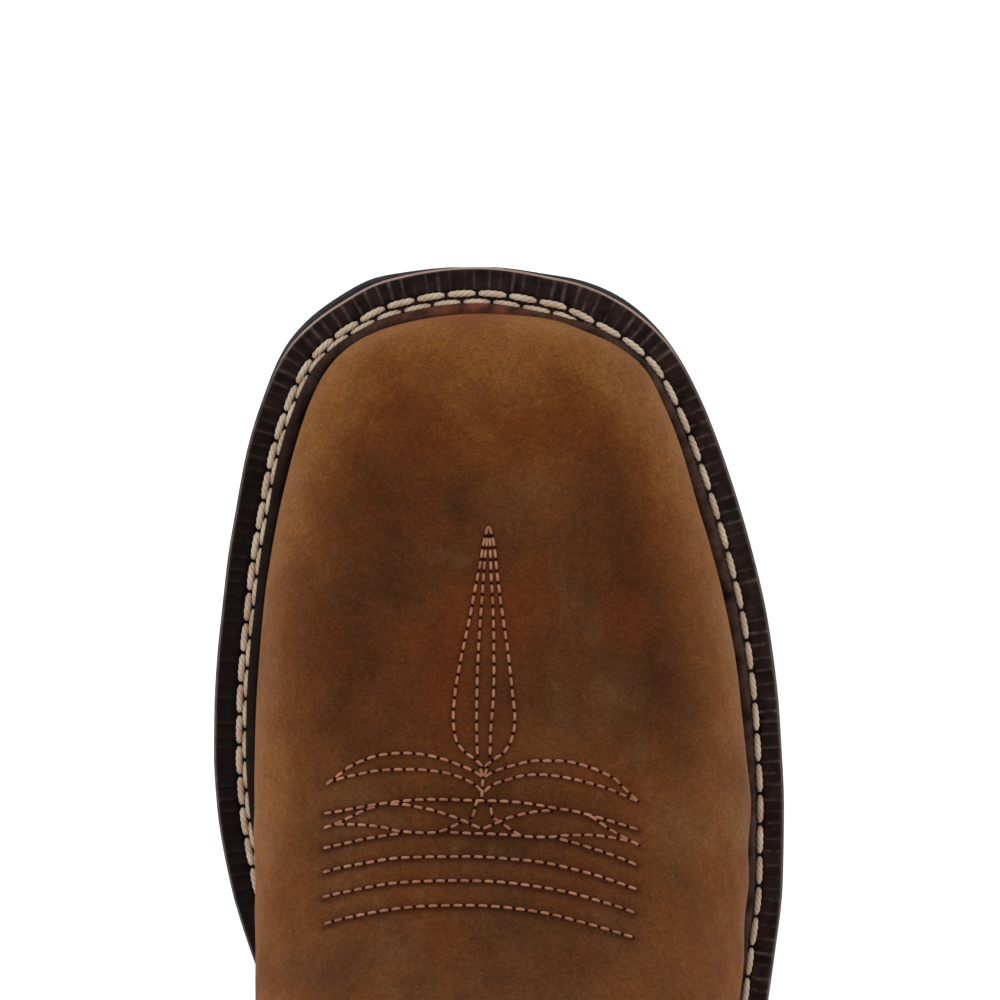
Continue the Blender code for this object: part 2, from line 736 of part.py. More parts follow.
def make_welt(skin, parent):
    strip = principled("welt_leather", (0.035, 0.022, 0.018), 0.55)
    line = skin.rows[0][:, :2]
    edge = closed_loop(*(resample(side, skin.shares) for side in SOLE_SIDES))
    margin = np.linalg.norm(edge - line, axis=1)
    bead = np.minimum(BEAD_WIDTH, 0.55 * margin)
    lean = np.interp(BEAD_HEIGHT, skin.levels, np.arange(len(skin.levels)))
    leaning = skin.plans[int(round(lean))]
    direction = (edge - line) / margin[:, None]
    foot = line + direction * GAP
    crown_in = leaning + outward(leaning) * GAP * 1.5
    out = foot + direction * bead[:, None]
    crown_out = crown_in + (out - crown_in) * 0.6
    inner = grown(line, -UPPER_WALL)
    rings = [
        raised(inner, welt_bottom),
        raised(inner, welt_top),
        raised(foot, welt_top),
        raised(crown_in, welt_top, BEAD_HEIGHT * 0.85),
        raised(crown_out, welt_top, BEAD_HEIGHT),
        raised(out, welt_top, BEAD_HEIGHT * 0.35),
        raised(out + direction * EDGE_ROUND / 4, welt_top),
        raised(edge, welt_top),
        raised(edge, welt_bottom),
    ]
    tube_solid("welt", rings, strip, parent)


def make_upper(skin, parent):
    leather = principled("oiled_leather", (0.155, 0.065, 0.028), 0.6)
    line = skin.line_row
    total = len(skin.rows)
    rings = list(skin.at(0, line + 1, 0))
    rings += list(skin.at(line, total, -OVERLAY))
    rings += list(skin.at(0, total, -UPPER_WALL))[::-1]
    tube_solid("upper", rings, leather, parent)


def make_insole(skin, parent):
    board = principled("insole_leather", (0.36, 0.24, 0.15), 0.75)
    loop = station_loop(grown(skin.rows[0][:, :2], -(UPPER_WALL + INSOLE_GAP)))
    rings = [raised(loop, welt_bottom), raised(loop, feather, INSOLE_RISE)]
    slab_solid("insole", rings, board, parent)


def strap_columns(skin, side):
    """Indices round the loop of the columns that a pull strap covers, on one side."""
    first = FRONT_COLUMNS - 1
    columns = list(range(first, first + 6))
    if side:
        columns = [skin.rows.shape[1] - c for c in columns]
    return columns


def make_side_seam(skin, side, parent):
    """Raised strip over the join of the shaft's halves, from the vamp line up to the pull strap."""
    leather = principled("seam_leather", (0.09, 0.038, 0.018), 0.6)
    columns = strap_columns(skin, side)[2:4]
    first, last = skin.line_row + 1, len(skin.rows) - STRAP_ROWS
    under = skin.at(first, last, GAP - OVERLAY)[:, columns]
    over = skin.at(first, last, GAP - OVERLAY + SEAM_RISE)[:, columns]
    name = ("side_seam_lateral", "side_seam_medial")[side]
    sheet_solid(name, over, under, leather, parent)


def strap_path(skin, columns):
    """Middle surface of a pull strap: up outside the shaft, over the collar and down inside."""
    leg_rows = np.arange(len(skin.rows) - STRAP_ROWS, len(skin.rows))
    bows = LOOP_BOW * smoothstep(0.3, 1.0, np.linspace(0, 1, STRAP_ROWS))
    half = GAP + STRAP_THICKNESS / 2
    outside, inside = [], []
    for row, bow in zip(leg_rows, bows):
        base, normal = skin.rows[row, columns], skin.normals[row, columns]
        outside.append(base + normal * (half + bow - OVERLAY))
        inside.append(base - normal * (half + bow + UPPER_WALL))
    middle = (outside[-1] + inside[-1]) / 2
    reach = outside[-1] - middle
    arch = []
    for angle in np.linspace(0, math.pi, 9)[1:-1]:
        lift = np.array([0, 0, LOOP_RISE * math.sin(angle)])
        arch.append(middle + reach * math.cos(angle) + lift)
    return np.stack(outside + arch + inside[::-1])


def make_pull_strap(skin, side, parent):
    leather = principled("strap_leather", (0.10, 0.042, 0.020), 0.6)
    path = strap_path(skin, strap_columns(skin, side))
    normals = np.cross(np.gradient(path, axis=0), np.gradient(path, axis=1))
    normals /= np.linalg.norm(normals, axis=2, keepdims=True)
    shift = normals * STRAP_THICKNESS / 2
    name = ("pull_strap_lateral", "pull_strap_medial")[side]
    sheet_solid(name, path + shift, path - shift, leather, parent)


def plan_centre(skin):
    """Middle of the boot's plan box, which the origin stands under."""
    lip = MIDSOLE_LIP + OUTSOLE_LIP * by_side(SOLE_LOOP, LIP_COLUMNS, LIP_TABLE)
    edge = station_loop(grown(SOLE_LOOP, lip))
    plans = np.concatenate([edge, skin.rows[:, :, :2].reshape(-1, 2)])
    return (plans.min(axis=0) + plans.max(axis=0)) / 2


def main():
    for old in list(bpy.data.objects):
        bpy.data.objects.remove(old)
    skin = Skin()
    middle = plan_centre(skin)
    boot = bpy.data.objects.new("boot", None)
    boot.location = (-middle[0], -middle[1], 0)
    bpy.context.scene.collection.objects.link(boot)
    make_outsole(boot)
    make_heel(boot)
    make_midsole(boot)
    make_welt(skin, boot)
    make_upper(skin, boot)
    make_insole(skin, boot)
    for side in (0, 1):
        make_side_seam(skin, side, boot)
        make_pull_strap(skin, side, boot)


main()
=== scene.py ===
"""Looks of the right western work boot: leather, seams, stitches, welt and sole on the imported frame.

Metres, +Z up, toe along +Y, outer side along +X. The boot's sizes and surface functions are those of
its solids, so each dressed piece lies where its solid lies.
"""

import math

import bmesh
import bpy
import numpy as np
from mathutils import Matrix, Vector, noise
from mathutils.bvhtree import BVHTree
from mathutils.kdtree import KDTree


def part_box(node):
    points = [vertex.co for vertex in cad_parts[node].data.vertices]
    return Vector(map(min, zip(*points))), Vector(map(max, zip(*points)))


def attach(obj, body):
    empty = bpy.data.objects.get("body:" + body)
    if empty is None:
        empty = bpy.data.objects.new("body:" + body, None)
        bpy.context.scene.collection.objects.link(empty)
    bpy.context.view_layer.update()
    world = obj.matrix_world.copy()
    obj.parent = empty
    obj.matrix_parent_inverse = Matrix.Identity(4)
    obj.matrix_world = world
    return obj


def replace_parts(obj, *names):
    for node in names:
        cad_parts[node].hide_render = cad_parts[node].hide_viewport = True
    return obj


# Sole
SOLE_LENGTH = 0.305
SOLE_WIDTH = 0.115
OUTSOLE_THICKNESS = 0.007
WAIST_THICKNESS = 0.005
MIDSOLE_THICKNESS = 0.0035
WELT_THICKNESS = 0.003
TOE_SPRING = 0.011
MIDSOLE_LIP = 0.0005
OUTSOLE_LIP = 0.0015
GROOVE_WIDTH = 0.0032
GROOVE_DEPTH = 0.0022
GROOVE_PITCH = 0.0125
GROOVE_MARGIN = 0.012

# Heel
HEEL_HEIGHT = 0.033
HEEL_LENGTH = 0.075
HEEL_TAPER = 0.004
LIFT_HEIGHT = 0.008

# Welt
WELT_MARGIN = 0.0100
BEAD_WIDTH = 0.0030
BEAD_HEIGHT = 0.0028

# Upper
LEATHER_WIDTH = 0.0995
TOE_BAND = 0.0091
HEEL_BAND = 0.0019
INSTEP_HEIGHT = 0.112
BULGE_HEIGHT = 0.040
BOOT_HEIGHT = 0.318
FRONT_DIP = 0.030
BACK_DIP = 0.022
COLLAR_WIDTH = 0.099
SHAFT_WALL = 0.0019
OVERLAY = 0.0011

# Trim
SEAM_WIDTH = 0.0050
SEAM_RISE = 0.0016
SEAM_CLEAR = 0.0020
STRAP_WIDTH = 0.028
STRAP_THICKNESS = 0.0022
STRAP_LEG = 0.055
LOOP_RISE = 0.014
LOOP_BOW = 0.006
GAP = 0.0003


def table(names, *rows):
    """Named columns of a table, each as an array."""
    return dict(zip(names.split(), np.array(rows).T))


# Sole edge: share of SOLE_LENGTH back from the toe, shares of SOLE_WIDTH out from the axis
SOLE_TABLE = table(
    "from_toe medial lateral",
    (0.0000, 0.043, -0.043),
    (0.0052, 0.165, 0.068),
    (0.0102, 0.214, 0.130),
    (0.0213, 0.270, 0.200),
    (0.0370, 0.330, 0.258),
    (0.0528, 0.370, 0.297),
    (0.0872, 0.415, 0.348),
    (0.1203, 0.442, 0.383),
    (0.1580, 0.461, 0.416),
    (0.1918, 0.476, 0.441),
    (0.2226, 0.485, 0.460),
    (0.2551, 0.494, 0.474),
    (0.2885, 0.499, 0.484),
    (0.3193, 0.500, 0.489),
    (0.3531, 0.495, 0.493),
    (0.4046, 0.472, 0.491),
    (0.4560, 0.430, 0.475),
    (0.5410, 0.326, 0.435),
    (0.6066, 0.277, 0.387),
    (0.6720, 0.270, 0.357),
    (0.7377, 0.291, 0.348),
    (0.8360, 0.322, 0.343),
    (0.9016, 0.308, 0.328),
    (0.9510, 0.248, 0.267),
    (0.9800, 0.163, 0.181),
    (1.0000, -0.009, 0.009),
)

# Margin of the welt outside the feather line: shares of WELT_MARGIN
MARGIN_TABLE = table(
    "from_toe medial lateral",
    (0.00, 1.06, 1.06),
    (0.15, 1.00, 0.94),
    (0.35, 0.98, 0.88),
    (0.47, 0.80, 0.76),
    (0.58, 0.48, 0.52),
    (1.00, 0.45, 0.45),
)

# How far the outsole stands out past the welt: shares of OUTSOLE_LIP
LIP_TABLE = table(
    "from_toe medial lateral",
    (0.000, 0.05, 0.05),
    (0.004, 0.38, 0.25),
    (0.012, 0.85, 0.58),
    (0.020, 0.92, 0.66),
    (0.035, 0.80, 0.45),
    (0.055, 0.45, 0.15),
    (0.090, 0.10, 0.08),
    (1.000, 0.10, 0.10),
)

# Foot part of the upper: share of its length back from the toe leather, shares of LEATHER_WIDTH out
# from the axis at the widest level and for the ridge, share of BULGE_HEIGHT, and section fullness
FOOT_TABLE = table(
    "from_toe medial lateral ridge bulge fullness",
    (0.0000, 0.040, -0.040, -0.040, 0.20, 2.8),
    (0.0051, 0.180, 0.115, -0.040, 0.20, 2.8),
    (0.0102, 0.236, 0.158, -0.041, 0.20, 2.8),
    (0.0218, 0.304, 0.234, -0.042, 0.21, 2.8),
    (0.0384, 0.351, 0.291, -0.044, 0.22, 2.7),
    (0.0595, 0.383, 0.325, -0.046, 0.23, 2.7),
    (0.0939, 0.418, 0.365, -0.050, 0.25, 2.6),
    (0.1262, 0.442, 0.393, -0.054, 0.27, 2.5),
    (0.1640, 0.463, 0.427, -0.058, 0.29, 2.4),
    (0.1918, 0.475, 0.448, -0.062, 0.31, 2.4),
    (0.2337, 0.486, 0.472, -0.066, 0.34, 2.3),
    (0.2752, 0.493, 0.485, -0.070, 0.38, 2.25),
    (0.3490, 0.496, 0.502, -0.070, 0.48, 2.2),
    (0.4190, 0.495, 0.502, -0.062, 0.62, 2.1),
    (0.4710, 0.495, 0.491, -0.050, 0.76, 2.0),
    (0.5270, 0.482, 0.462, -0.036, 0.90, 1.95),
    (0.6120, 0.437, 0.427, -0.015, 1.00, 1.9),
    (0.7140, 0.389, 0.400, 0.000, 0.90, 1.9),
    (0.8160, 0.362, 0.378, 0.008, 0.66, 1.9),
    (0.8840, 0.345, 0.362, 0.010, 0.54, 1.9),
    (0.9390, 0.296, 0.315, 0.010, 0.50, 1.9),
    (0.9800, 0.190, 0.210, 0.010, 0.50, 1.9),
    (1.0000, -0.010, 0.010, 0.010, 0.50, 1.9),
)

# Ridge of the toe, vamp and instep: height over the feather line as a share of INSTEP_HEIGHT
RIDGE_TABLE = table(
    "from_toe height",
    (0.0000, 0.0714),
    (0.0020, 0.125),
    (0.0070, 0.176),
    (0.0167, 0.218),
    (0.0337, 0.251),
    (0.0575, 0.275),
    (0.1050, 0.305),
    (0.1730, 0.343),
    (0.2410, 0.388),
    (0.3090, 0.445),
    (0.3770, 0.517),
    (0.4450, 0.609),
    (0.4960, 0.700),
    (0.5410, 0.806),
    (0.5750, 0.904),
    (0.5990, 1.000),
    (0.6120, 1.100),
)

# Shaft: share of the top level, front as a share of the leather length, width over COLLAR_WIDTH
SHAFT_TABLE = table(
    "level front width",
    (0.200, 0.5000, 0.800),
    (0.368, 0.6000, 0.755),
    (0.478, 0.6160, 0.770),
    (0.588, 0.6170, 0.815),
    (0.735, 0.6020, 0.895),
    (1.000, 0.5510, 1.000),
)

# Back line of heel and shaft
BACK_TABLE = table(
    "level from_toe",
    (0.0000, 0.9915),
    (0.0735, 1.0000),
    (0.1650, 0.9935),
    (0.2570, 0.9830),
    (0.3680, 0.9770),
    (0.4780, 0.9793),
    (0.7350, 0.9946),
    (1.0000, 1.0080),
)

SEAM_FROM_TOE = 0.775
SEAM_START = 0.405

# Top line of vamp and counter: share of the way round from front to back, share of INSTEP_HEIGHT
VAMP_TABLE = table(
    "round height",
    (0.00, 1.070),
    (0.05, 1.010),
    (0.12, 0.800),
    (0.22, 0.560),
    (0.36, 0.430),
    (0.50, SEAM_START),
    (0.64, 0.440),
    (0.80, 0.590),
    (0.93, 0.700),
    (1.00, 0.720),
)

FLAT_FROM_TOE = (0.20, 0.40)
ARCH_END = 0.76
SHAFT_BLEND = (0.20, 0.46)
SHAFT_SQUARENESS = 2.25
SHAFT_SHIFT = 0.0010
LEATHER_LENGTH = SOLE_LENGTH - TOE_BAND - HEEL_BAND
UPPER_WALL = SHAFT_WALL + OVERLAY
THROAT_STEEPNESS = 2.5
THROAT_LEVELS = (0.9 * INSTEP_HEIGHT, 1.2 * INSTEP_HEIGHT)
SIDES = ("lateral", "medial")
WAYS = (1, -1)

# Resolution of the dressed pieces
OUTLINE_POINTS = 150
FRONT_COLUMNS = 140
HEEL_COLUMNS = 84
MIDDLE_COLUMNS = 25
FINE = 400
VAMP_ROWS = 290
COUNTER_ROWS = 120
SHAFT_FINE_ROWS = 150
LINING_FOOT_ROWS = 70
LINING_SHAFT_ROWS = 50

# Leather
VAMP_LAP = 0.012
SHAFT_LEATHER = 0.0010
SHAFT_TUCK = 0.006
BINDING_DEPTH = 0.0075
BINDING_RISE = 0.0008
EDGE_MARK = -1.0
RIM_STEPS = ((0.10, -0.10), (0.22, -0.40), (0.22, -0.75), (0.10, -1.05), (-2.60, -1.25))
EDGE_ROWS = (0.0020, 0.0042)
STITCH_SINK = 0.00034
STITCH_TROUGH = 0.0011
CURVE_SPACING = 0.0006
EDGE_SPACING = 0.0008
FEATHER_HOLD = 0.03
ROLL_DEPTH = 0.00030
ROLL_WIDTH = 0.0030

# Welt
RIB_STRIP = 0.0040
RIB_PITCH = 0.0026
RIB_PHASES = (0.0, 0.045, 0.09, 0.15, 0.32, 0.68, 0.85, 0.91, 0.955)
RIB_HEIGHT = 0.00035
RIB_CREST = 0.48
WELT_CHANNEL = 0.00030
WELT_ROW_ENDS = ((SOLE_LENGTH - HEEL_LENGTH - 0.004, 1.0), (0.165, 0.024))
TOE_AXIS = -0.004
HEEL_LAYERS = 5
HEEL_BREAST = SOLE_LENGTH - HEEL_LENGTH
STRAP_INSET = 0.0026
BOX_FACES = ((0, 1, 2, 3), (4, 5, 6, 7), (0, 1, 5, 4), (1, 2, 6, 5), (2, 3, 7, 6), (3, 0, 4, 7))

# Stitches: pitch, share of it that the stitch covers, thread radius and how many radii it sinks in
PATTERN_STITCH = dict(pitch=0.0024, cover=0.77, radius=0.00031, sink=0.22, apart=0.0004)
# Dark discs between the pattern stitches: painted shade in the needle holes
PATTERN_HOLE = dict(PATTERN_STITCH, cover=0.26, sink=0.50, phase=0.5, rings=5, sides=6)
EDGE_STITCH = dict(pitch=0.0027, cover=0.78, radius=0.00038, sink=0.10, rings=5, sides=6)
TRIM_STITCH = dict(pitch=0.0030, cover=0.78, radius=0.00034, sink=0.35, rings=5, sides=6)
WELT_STITCH = dict(pitch=0.0062, cover=0.90, sink=0.10, twist=4.2, rings=25, sides=12)

# Camera and light
CAMERA_HEIGHT = 2.0
VIEW_LEVEL = 0.015
VIEW_WIDTH = 0.2016
VIEW_CENTRE = (0.0002, 0.1062)
WORLD_LIGHT = 0.42
FLOOR_GLOW = 0.80
FLOOR_HALF = 3.0
FLOOR_DROP = 0.0004
LIGHT_AIM = (0, 0.06, 0.02)
LIGHTS = (
    ("key", (-0.5, 0.5, 1.6), 1.2, 6.5),
    ("fill", (0.9, -0.3, 1.2), 1.0, 2.2),
)

# Colours as they look on a screen, 0 to 255
DARK = (52, 32, 17)
DARK_RED = (74, 42, 20)
WARM = (98, 56, 28)
TAN = (124, 70, 30)
GOLD = (148, 95, 46)
RUST = (108, 48, 22)
WORN = (128, 94, 62)
STITCH_SHADOW = (56, 25, 13)
RAW_EDGE = (44, 25, 16)
# Welt and bead run from dark to pale by painted light: shade on the inner side, light on the outer side and
# at the toe
WELT_DARK = (20, 11, 10)
WELT_PALE = (58, 42, 40)
# Painted highlight on the welt's rib crests
WELT_CREST_HIGHLIGHT = (98, 82, 78)
BEAD_DARK = (26, 15, 12)
BEAD_PALE = (94, 70, 60)
BEAD_WORN = (136, 74, 56)
MIDSOLE_DARK = (50, 34, 32)
MIDSOLE_PALE = (204, 166, 148)

# Patches of the vamp: millimetres out and back, size, change of tone, and red (1) to dusty (-1)
PATCHES = (
    (-20, 49, 11, -0.11, 0.0),
    (-34, 71, 12, -0.16, 0.0),
    (30, 59, 13, -0.08, 0.0),
    (32, 42, 9, 0.10, 0.0),
    (46, 74, 7, 0.08, -0.4),
    (28, 83, 10, -0.12, 0.0),
    (12, 87, 7, -0.10, 0.0),
    (6, 44, 8, 0.12, -0.3),
    (-27, 30, 10, 0.11, 0.35),
    (-20, 19, 10, 0.0, 0.35),
    (7, 28, 10, -0.06, 0.25),
    (-13, 31, 10, 0.06, 0.3),
    (-28, 120, 10, 0.12, -0.2),
    (-31, 105, 7, 0.08, -0.4),
    (-25, 84, 6, 0.12, 0.0),
    (27, 43, 7, 0.12, 0.1),
    (-12, 80, 9, 0.05, 0.8),
    (4, 69, 7, 0.12, 0.7),
    (-7, 66, 6, 0.05, 0.6),
    (11, 96, 7, 0.14, -0.2),
    (22, 85, 6, 0.18, -0.4),
    (-19, 121, 8, 0.02, 0.3),
    (36, 110, 9, 0.10, -0.5),
)

# Soft creases at the sides of the ball, then round the ankle in front and behind: millimetres out, back
# and up, then width and depth in metres
FOLDS = (
    (((49, 112, 22), (46, 115, 34), (38, 120, 47)), 0.0038, 0.0007),
    (((48, 128, 24), (44, 132, 40), (35, 137, 56)), 0.0042, 0.0008),
    (((-49, 118, 22), (-45, 121, 34), (-38, 125, 47)), 0.0038, 0.0007),
    (((-45, 136, 26), (-40, 139, 42), (-32, 143, 58)), 0.0042, 0.0007),
    (((35, 238, 102), (38, 212, 111), (28, 190, 125), (2, 180, 134), (-25, 190, 125), (-36, 212, 111),
      (-33, 238, 102)), 0.0056, 0.0016),
    (((35, 240, 127), (39, 218, 138), (29, 197, 150), (2, 186, 157), (-27, 197, 150), (-37, 218, 138),
      (-33, 240, 127)), 0.0060, 0.0014),
    (((36, 242, 129), (33, 264, 121), (22, 288, 113), (0, 299, 110), (-20, 288, 113), (-31, 264, 121),
      (-34, 242, 129)), 0.0052, 0.0015),
    (((38, 236, 158), (35, 258, 146), (24, 284, 136), (0, 297, 132), (-22, 284, 136), (-33, 258, 146),
      (-36, 236, 158)), 0.0056, 0.0013),
    (((30, 270, 166), (0, 296, 156), (-28, 270, 166)), 0.0056, 0.0007),
)
REAR_TONE = 0.60
# Tone along the creases: painted shade in their troughs, and ridges paler as pull-up leather goes where it
# bends
CREASE_SHADE_AND_PULL_UP = 210.0

# How far the vamp is drawn in behind the ball, outer side then inner side
WAIST = (0.0019, 0.0008)

# Where the vamp meets the welt in plan: millimetres back, then out to the inner and to the outer side
SIDE_EDGE = (
    (20, 34, 26),
    (30, 39, 34),
    (45, 44, 39),
    (60, 47, 43),
    (75, 49, 47),
    (105, 50, 50),
    (200, 50, 50),
)

# Flame over the toe box: millimetres out from the sole's axis and back from its tip
FLAME = (
    ((-2.5, 51.2), (-3.4, 54.6), (-4.2, 59.4), (-5.2, 64.3), (-6.4, 70.7), (-7.7, 76.7), (-8.9, 83.2),
     (-9.4, 89.1), (-8.9, 93.4), (-7.4, 95.7), (-5.0, 97.5), (-3.5, 99.0)),
    ((-2.5, 51.2), (-1.5, 54.6), (-0.6, 62.3), (0.4, 69.8), (1.4, 76.7), (2.2, 84.0), (2.7, 88.9),
     (2.3, 92.8), (0.7, 95.9), (-1.6, 97.5), (-3.5, 99.0)),
    ((-2.5, 51.2), (-2.8, 54.6), (-3.3, 59.0), (-3.7, 64.7), (-4.2, 71.6), (-4.6, 79.1), (-4.8, 86.7),
     (-4.8, 92.4), (-4.5, 97.5), (-3.5, 101.0)),
    ((-2.5, 51.2), (-2.2, 54.6), (-2.0, 60.6), (-1.6, 67.5), (-1.4, 76.7), (-1.5, 84.8), (-2.0, 91.2),
     (-2.3, 97.5), (-3.5, 101.0)),
    ((-3.5, 101.0), (-3.7, 102.5), (-3.7, 103.9), (-3.9, 105.0)),
)

# Two pairs of leaves and the broad arc between them, behind the flame
LEAVES = (
    ((-34.7, 102.7), (-32.1, 100.7), (-30.0, 99.1), (-27.4, 97.8), (-24.2, 96.7), (-19.7, 96.2),
     (-15.2, 96.5), (-11.6, 97.3), (-8.5, 98.4), (-5.2, 99.8), (-3.5, 101.0)),
    ((-34.7, 102.7), (-31.7, 101.3), (-28.4, 100.5), (-24.6, 99.7), (-20.7, 99.4), (-16.5, 99.4),
     (-13.0, 99.7), (-10.2, 100.2), (-7.5, 101.1), (-5.2, 102.3), (-3.5, 103.9)),
    ((-3.5, 101.0), (-1.2, 99.7), (2.0, 98.7), (5.7, 97.8), (9.2, 97.7), (12.4, 97.8), (15.1, 98.3),
     (18.7, 99.5), (22.3, 101.3), (24.6, 103.6), (27.1, 105.8)),
    ((-3.5, 103.9), (-1.6, 102.3), (1.2, 101.4), (4.3, 100.6), (7.9, 100.4), (11.0, 100.7),
     (14.6, 101.4), (17.8, 102.2), (21.0, 103.2), (23.6, 104.3), (27.1, 105.8)),
    ((-35.1, 108.2), (-31.5, 107.6), (-26.0, 106.5), (-21.4, 105.8), (-16.9, 105.3), (-11.6, 105.2),
     (-6.1, 105.4), (-0.8, 105.5), (3.7, 105.8), (7.8, 106.4), (11.0, 107.0), (14.6, 107.6),
     (18.3, 108.6), (21.8, 109.6), (24.6, 110.5), (27.1, 111.3)),
    ((-35.1, 111.1), (-31.9, 109.9), (-29.1, 108.5), (-26.0, 107.1), (-22.8, 106.3), (-19.3, 106.2),
     (-16.1, 106.8), (-13.4, 107.3), (-10.6, 108.2), (-7.9, 109.1), (-5.2, 110.3), (-3.5, 110.8),
     (-0.8, 109.7), (1.1, 108.9), (3.7, 108.2), (7.0, 107.6), (10.1, 107.4), (13.3, 107.4),
     (16.5, 108.0), (19.1, 109.6), (20.9, 110.9), (24.2, 112.8), (27.3, 114.4)),
    ((-3.9, 105.0), (-5.0, 106.1), (-5.4, 108.2), (-6.9, 109.2), (-8.8, 110.1), (-11.6, 111.3),
     (-14.3, 111.7), (-20.0, 111.4), (-23.3, 110.6), (-26.9, 110.3), (-30.1, 110.2), (-32.3, 110.3),
     (-34.7, 111.0)),
    ((-3.9, 105.0), (-2.2, 106.3), (-1.7, 108.6), (-0.3, 109.5), (1.1, 110.5), (2.9, 111.7),
     (4.7, 112.4), (10.0, 112.5), (11.4, 112.3), (14.6, 112.2), (17.8, 112.2), (20.4, 112.5),
     (23.2, 113.0), (25.5, 113.6), (27.3, 114.4)),
)

# Four rows across the vamp behind the leaves
WRINKLES = (
    ((-35.2, 115.0), (-31.5, 114.1), (-27.7, 113.2), (-24.2, 112.5), (-20.0, 111.9), (-16.1, 111.6),
     (-10.6, 111.6), (-5.2, 111.8), (0.2, 112.0), (5.7, 112.4), (10.1, 112.7), (13.7, 113.5),
     (17.3, 114.6), (20.9, 115.8), (24.5, 117.2), (26.8, 118.2)),
    ((-35.2, 119.7), (-31.4, 118.6), (-26.9, 117.7), (-21.4, 116.7), (-16.1, 116.4), (-10.6, 116.3),
     (-4.3, 116.3), (1.1, 116.7), (5.7, 117.1), (10.1, 117.8), (14.6, 118.9), (19.0, 120.1),
     (23.5, 121.7), (26.8, 122.9)),
    ((-35.2, 124.5), (-31.4, 123.5), (-26.4, 122.4), (-21.4, 121.5), (-16.1, 121.1), (-9.7, 120.9),
     (-3.3, 121.0), (1.1, 121.3), (5.7, 121.9), (10.1, 122.6), (14.6, 123.6), (19.0, 124.9),
     (23.5, 126.3), (26.3, 127.4)),
    ((-34.9, 129.7), (-31.4, 128.6), (-25.8, 127.3), (-21.3, 126.5), (-16.0, 125.9), (-10.6, 125.7),
     (-4.3, 125.7), (1.1, 126.1), (5.7, 126.7), (10.1, 127.5), (14.6, 128.7), (19.0, 129.9),
     (23.5, 131.3), (26.0, 132.1)),
)


def smoothstep(low, high, value):
    """0 below low, 1 above high, and smooth between."""
    share = np.clip((value - low) / (high - low), 0, 1)
    return share * share * (3 - 2 * share)


def smooth_curve(xs, ys, at):
    """A smooth curve through the points that never overshoots them."""
    steps = np.diff(xs)
    slopes = np.diff(ys) / steps
    tangents = np.zeros(len(xs))
    tangents[0] = slopes[0]
    tangents[-1] = slopes[-1]
    same = slopes[:-1] * slopes[1:] > 0
    before, after = slopes[:-1][same], slopes[1:][same]
    weight_a = 2 * steps[1:][same] + steps[:-1][same]
    weight_b = steps[1:][same] + 2 * steps[:-1][same]
    tangents[1:-1][same] = (weight_a + weight_b) / (weight_a / before + weight_b / after)
    at = np.clip(at, xs[0], xs[-1])
    cell = np.clip(np.searchsorted(xs, at) - 1, 0, len(steps) - 1)
    width = steps[cell]
    t = (at - xs[cell]) / width
    return (
        (1 + 2 * t) * (1 - t) ** 2 * ys[cell]
        + t * (1 - t) ** 2 * width * tangents[cell]
        + t * t * (3 - 2 * t) * ys[cell + 1]
        + t * t * (t - 1) * width * tangents[cell + 1]
    )


def turn(share):
    """The angle whose cosine runs evenly with a share along the foot, so that round ends stay round."""
    return np.arccos(1 - 2 * np.clip(share, 0, 1))


def along_foot(columns, name, share):
    """A column of a table read at shares back from the toe."""
    return smooth_curve(turn(columns["from_toe"]), columns[name], turn(share))


def up_shaft(columns, name, level):
    """A column of a table read at a level over the feather line."""
    return smooth_curve(columns["level"], columns[name], level / TOP_LEVEL)


def arch_share(share):
    """Rise of the arch from the flat forefoot, 0, to the heel seat, 1."""
    along = np.clip((share - FLAT_FROM_TOE[1]) / (ARCH_END - FLAT_FROM_TOE[1]), 0, 1)
    return (1 - np.cos(math.pi * along)) / 2


def ground(back):
    """Underside of the outsole, by distance back from the toe tip."""
    share = back / SOLE_LENGTH
    toe = TOE_SPRING * np.clip(1 - share / FLAT_FROM_TOE[0], 0, 1) ** 2
    return toe + (HEEL_HEIGHT + GAP) * arch_share(share)


def outsole_top(back):
    """Level of the outsole's top a distance back from the toe."""
    thinner = (OUTSOLE_THICKNESS - WAIST_THICKNESS) * arch_share(back / SOLE_LENGTH)
    return ground(back) + OUTSOLE_THICKNESS - thinner


def midsole_bottom(back):
    """Level of the midsole's underside."""
    return outsole_top(back) + GAP


def midsole_top(back):
    """Level of the midsole's top."""
    return midsole_bottom(back) + MIDSOLE_THICKNESS


def welt_bottom(back):
    """Level of the welt's underside."""
    return midsole_top(back) + GAP


def welt_top(back):
    """Level of the welt's top."""
    return welt_bottom(back) + WELT_THICKNESS


def feather(back):
    """Height of the upper's lower edge."""
    return welt_top(back) + GAP


def closed_loop(lateral, medial):
    """Both sides, each from toe to heel, as one loop from the toe round the outer side."""
    return np.concatenate([lateral, medial[-2:0:-1]])


def run_along(points):
    """Length along a line at each of its points."""
    return np.concatenate([[0], np.cumsum(np.linalg.norm(np.diff(points, axis=0), axis=1))])


def read_line(line, run, at):
    """Values of a line at lengths along it."""
    return np.stack([np.interp(at, run, values) for values in line.T], axis=-1)


def resample(points, shares):
    """Points at shares of the length of a line."""
    run = run_along(points)
    return read_line(points, run, shares * run[-1])


def outward(loop):
    """Unit plan directions out of a closed loop that runs toe, outer side, heel, inner side."""
    ahead = np.roll(loop, -1, axis=0) - np.roll(loop, 1, axis=0)
    across = np.stack([-ahead[:, 1], ahead[:, 0]], axis=1)
    return across / np.linalg.norm(across, axis=1, keepdims=True)


def grown(loop, distance):
    """The loop moved out by a distance, or by one for each point."""
    return loop + outward(loop) * np.reshape(distance, (-1, 1))


